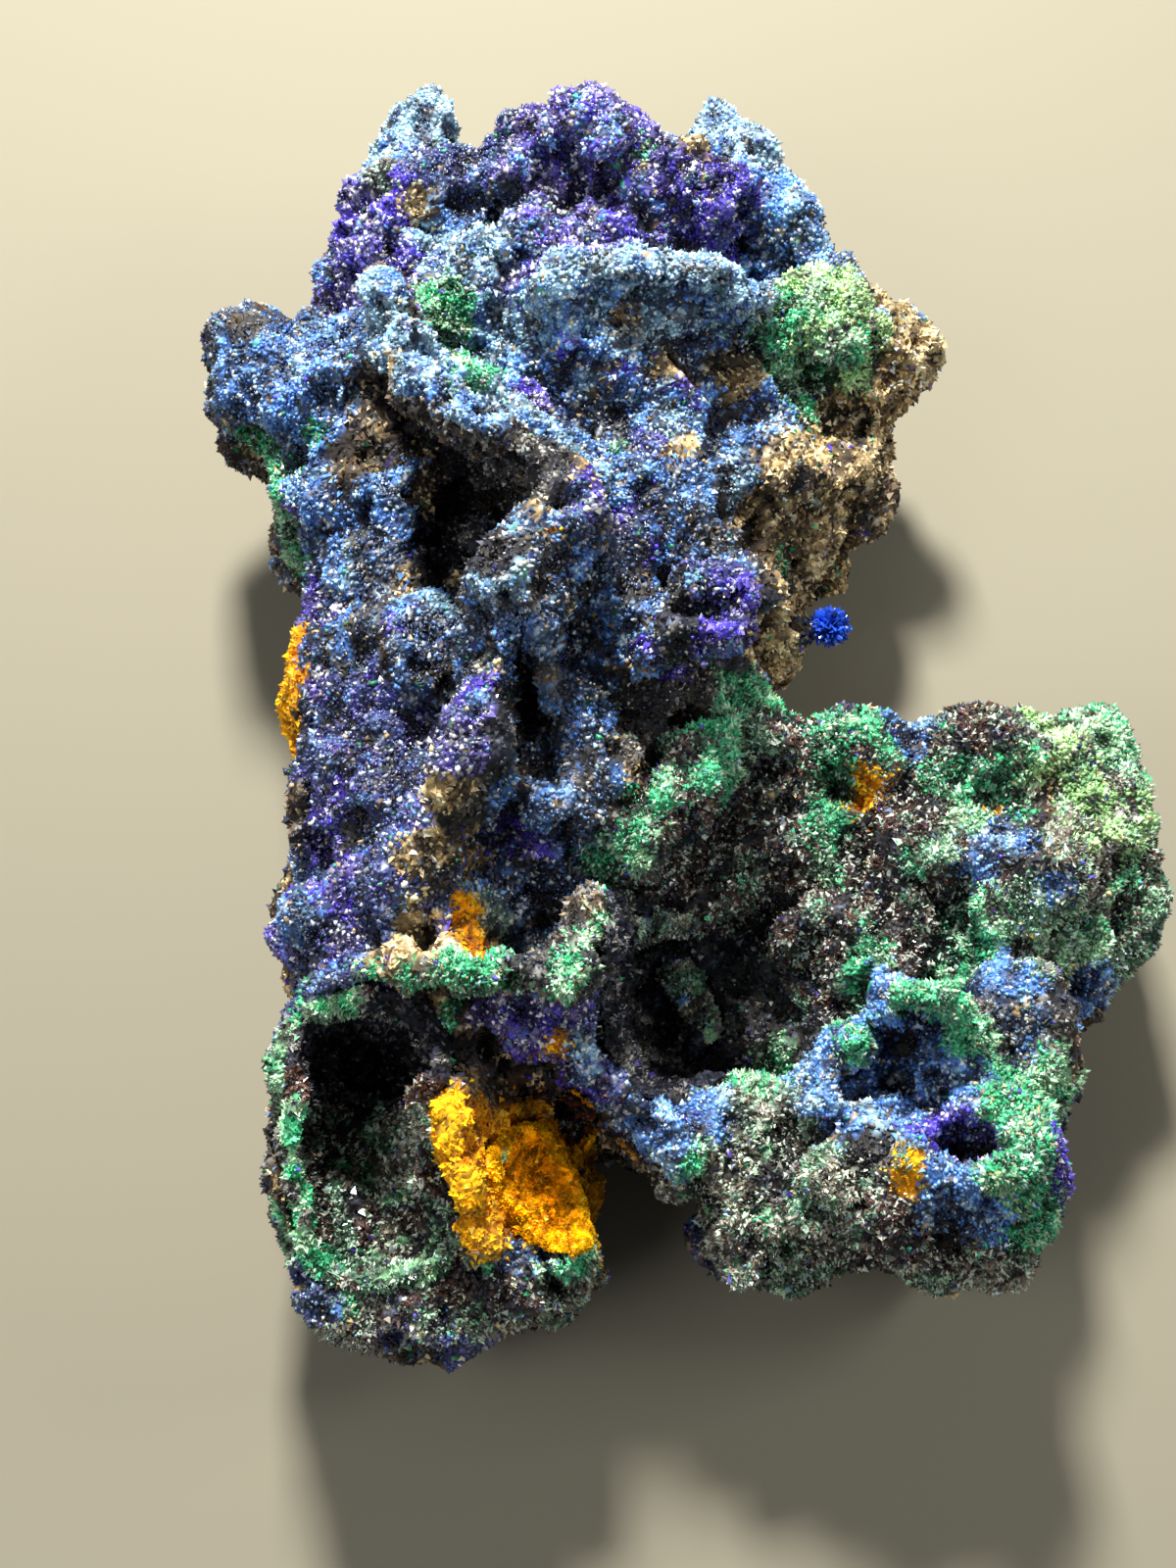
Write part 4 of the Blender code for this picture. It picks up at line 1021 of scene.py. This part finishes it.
CRUST_VOXEL = 0.4                           # mm
CRUST_SWELLS = ((1.0, 1.6, 21), (0.6, 0.8, 22))    # share, size in mm and seed of each noise
CRUST_RELIEF = 0.3                          # mm
CRUST_MOTTLE = ((0.5, 1.2, 23),)            # share, size in mm and seed
CRUST_LIFT = (6, 0.25)                      # rounds of smoothing and full height in mm
# A crust's lean to the recess colour is painted shade in its hollow; its flecks are painted glints.
CRUST_PAINTED_SHADE = 0.25                          # how far a crust lies towards the recess colour
CRUST_GLINTS = 0.03                         # share of its corners that are flecks
CRUST_DULL = 0.1                            # roughness added to that of the grains


def crust_piece(name, node, patches, default, rounds, material):
    """Melt, rub and roughen a crust's solid, then colour it from its own small map."""
    corners, faces = fine_form(node, CRUST_VOXEL)
    pairs = neighbour_pairs(faces)
    base = smoothed(corners, pairs, rounds)
    height = CRUST_RELIEF * mixed_noise(base, CRUST_SWELLS)
    corners = base + corner_normals(base, faces) * (height * MM)[:, None]
    normals = corner_normals(corners, faces)
    lift = lift_of(corners, pairs, normals, *CRUST_LIFT)
    zone = zones_at(corners, spots_on(tree_of(node), patches), (default,))
    level = lift - CRUST_PAINTED_SHADE + mixed_noise(corners, CRUST_MOTTLE)
    tint = tints(zone, level, chance.random(len(corners)) < CRUST_GLINTS)
    piece = make_piece(name, corners, faces, tint, zone_roughness[zone] + CRUST_DULL, material)
    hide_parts(node)
    return corners, faces, normals, lift, zone


pocket = crust_piece("pocket_druse", "left_pocket_crust", POCKET_MAP, "druse", 2, crust_material)
# The vug's lining takes painted shade where its map has no patch.
vug = crust_piece("vug_druse", "right_vug_crust", VUG_MAP, "black and shade", 2, crust_material)
ochre = crust_piece("ochre_sheet", "ochre_lining", OCHRE_MAP, "ochre", 3, ochre_material)
everywhere = {zone: 1.0 for zone in ZONES}
in_pocket = {**everywhere, "black and shade": 0.12}
in_vug = {**in_pocket, "speckled": 2.0, "grey green": 2.0}
grow("pocket_crystals", CHIP, pocket, in_pocket, druse_material,
     count=14000, size=0.46, stretch=0.8, flat=0.9, lean=0.5)
grow("vug_crystals", CHIP, vug, in_vug, druse_material,
     count=6000, size=0.44, stretch=0.8, flat=0.9, lean=0.5)
grow("ochre_crumbs", CHIP, ochre, everywhere, ochre_material,
     count=7000, size=0.32, stretch=0.6, flat=0.9, lean=0.8)

# %% [markdown]
# The rosette is a ball of bladed azurite, the brightest blue on the piece. Its blades stand out of one
# middle in all directions. They could be scattered at random, but some would then crowd together, so
# each is turned from the last by the golden angle, which spaces them evenly.

# %% Grow the rosette
BLADES = 240
BLADE_START = 0.45                          # share of the ball's radius at which the blades begin
BLADE_LENGTHS = (0.42, 0.62)                # their lengths, against that radius
BLADE_WIDTH, BLADE_FLAT = 0.32, 0.35        # against the length, and the second width against the first
BLADE_LEAN = 0.15                           # share of a random direction in a blade's axis
CORE_WIDTH, CORE_LENGTH, CORE_DROP = 0.6, 0.75, 0.18    # against the ball's radius
ROSETTE_BLUE = np.array((0.02, 0.09, 0.62))
BLUE_SPREAD = 0.35                          # spread of the logarithm of a blade's brightness
CORE_GREY, ROSETTE_ROUGHNESS = 0.02, 0.25

low, high = (np.array(corner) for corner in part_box("azurite_rosette"))
middle, reach = (low + high) / 2, (high - low).min() / 2
order = np.arange(BLADES) + 0.5
rise = 1 - 2 * order / BLADES
turn = order * math.pi * (3 - math.sqrt(5))
ring = np.sqrt(1 - rise * rise)
out = np.stack([ring * np.cos(turn), ring * np.sin(turn), rise], axis=1)
length = reach * chance.uniform(*BLADE_LENGTHS, BLADES)
place, tris = crystals(BLADE, middle + out * reach * BLADE_START,
                       out + chance.normal(size=(BLADES, 3)) * BLADE_LEAN,
                       length, length * BLADE_WIDTH, BLADE_FLAT)
tint = ROSETTE_BLUE * np.exp(chance.normal(size=(BLADES, 1)) * BLUE_SPREAD)
core, core_tris = crystals(BALL, middle[None] - (0, 0, reach * CORE_DROP), np.array([[0, 0, 1.0]]),
                           np.array([reach * CORE_LENGTH]), np.array([reach * CORE_WIDTH]), 1.0)
tint = np.concatenate([np.repeat(tint, len(BLADE[0]), axis=0), np.full((len(core), 3), CORE_GREY)])
rosette = make_piece("rosette_blades", np.concatenate([place, core]),
                     np.concatenate([tris, core_tris + len(place)]), tint,
                     np.full(len(tint), ROSETTE_ROUGHNESS), crystal_material)
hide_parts("azurite_rosette")

# %% [markdown]
# A short dark stalk holds the rosette off the rock. A thin cylinder would be simpler, but it would look
# like wire. So it is a bundle of small crystals along a line from the nearest rock to the ball's middle,
# thicker at the foot, which reads as one twig of iron rock.

# %% Grow the rosette's stalk
STALK_GRAINS = 260
STALK_RADII = (1.5, 0.7)                    # mm at the foot and at the ball
STALK_LEFT, STALK_DOWN = 1.2, 0.3           # mm by which the foot lies further into the rock
STALK_END = 0.8                             # share of the way to the ball's middle at which it ends
STALK_GRAIN_SIZES = (0.35, 0.65)            # mm
STALK_GRAIN_WIDTH, STALK_GRAIN_FLAT = 0.8, 0.9    # against the length, and the second against the first
STALK_MINERALS = ("umber", "black and shade", "navy", "brown", "umber", "indigo")
# The stalk's flecks are painted glints.
STALK_SHADE, STALK_GLINTS = 0.1, 0.04       # lean to the recess colour, and share of flecks

foot = np.array(lump_tree.find_nearest(Vector(middle))[0]) - np.array((STALK_LEFT, 0, STALK_DOWN)) * MM
along = chance.random((STALK_GRAINS, 1))
radius = (STALK_RADII[0] + (STALK_RADII[1] - STALK_RADII[0]) * along) * MM
off = unit(chance.normal(size=(STALK_GRAINS, 3)))
spots = foot + (middle - foot) * along * STALK_END + off * radius * chance.random((STALK_GRAINS, 1)) ** 0.5
size = chance.uniform(*STALK_GRAIN_SIZES, STALK_GRAINS) * MM
place, tris = crystals(BEAD, spots, off, size, size * STALK_GRAIN_WIDTH, STALK_GRAIN_FLAT)
kinds = zone_numbers(STALK_MINERALS)
stalk_zone = kinds[chance.integers(len(kinds), size=STALK_GRAINS)]
level = chance.normal(size=STALK_GRAINS) * PALE_SPREAD - STALK_SHADE
tint = tints(stalk_zone, level, chance.random(STALK_GRAINS) < STALK_GLINTS)
make_piece("rosette_stalk", place, tris, np.repeat(tint, len(BEAD[0]), axis=0),
           np.repeat(zone_roughness[stalk_zone], len(BEAD[0])), crumb_material)

# %% [markdown]
# A pale floor and studio lights. The key stands beyond the top of the picture, as the shadows show, and
# is fairly small, so that crystal faces flash. A broad soft light and the pale world fill the shadows.
# A picture of a real room could light the piece instead, but lamps can be placed one at a time.

# %% Light the piece
# name, place and size in mm, power in watts and colour
LIGHTS = (
    ("key", (-40, 260, 300), 60, 3.6, (1, 0.98, 0.94)),
    ("soft", (-220, -120, 320), 200, 0.38, (0.96, 0.98, 1)),
    ("right", (260, 40, 220), 100, 0.3, (1, 1, 1)),
)
WORLD_COLOUR, WORLD_STRENGTH = (0.9, 0.92, 1, 1), 0.08
FLOOR_SIZE = 1200                           # mm
FLOOR_COLOUR, FLOOR_ROUGHNESS = (0.30, 0.275, 0.20, 1), 0.8


def add_area(name, place, size, power, colour):
    """A square light aimed at the middle of the piece."""
    light = bpy.data.objects.new(name, bpy.data.lights.new(name, "AREA"))
    light.data.size = size * MM
    light.data.energy = power
    light.data.color = colour
    light.location = Vector(place) * MM
    light.rotation_euler = (Vector(LOOK_AT) - light.location).to_track_quat("-Z", "Y").to_euler()
    bpy.context.scene.collection.objects.link(light)


def add_floor(half):
    """A square floor that reaches half its size each way from the middle."""
    mesh = bpy.data.meshes.new("floor")
    mesh.from_pydata([(-half, -half, 0), (half, -half, 0), (half, half, 0), (-half, half, 0)], [],
                     [(0, 1, 2, 3)])
    floor = bpy.data.objects.new("floor", mesh)
    bpy.context.scene.collection.objects.link(floor)
    paint = bpy.data.materials.new("floor paint")
    paint.use_nodes = True
    shader = paint.node_tree.nodes["Principled BSDF"]
    shader.inputs["Base Color"].default_value = FLOOR_COLOUR
    shader.inputs["Roughness"].default_value = FLOOR_ROUGHNESS
    mesh.materials.append(paint)
    return floor


for light in LIGHTS:
    add_area(*light)

world = bpy.data.worlds.new("studio")
bpy.context.scene.world = world
world.use_nodes = True
background = world.node_tree.nodes["Background"]
background.inputs["Color"].default_value = WORLD_COLOUR
background.inputs["Strength"].default_value = WORLD_STRENGTH

floor = add_floor(FLOOR_SIZE * MM / 2)
bpy.context.scene.cycles.max_bounces = 4    # enough for light to reach the bottom of a hollow
bpy.context.scene.view_settings.view_transform = "Standard"
print(len(LIGHTS), "lights and a floor", FLOOR_SIZE, "mm across")
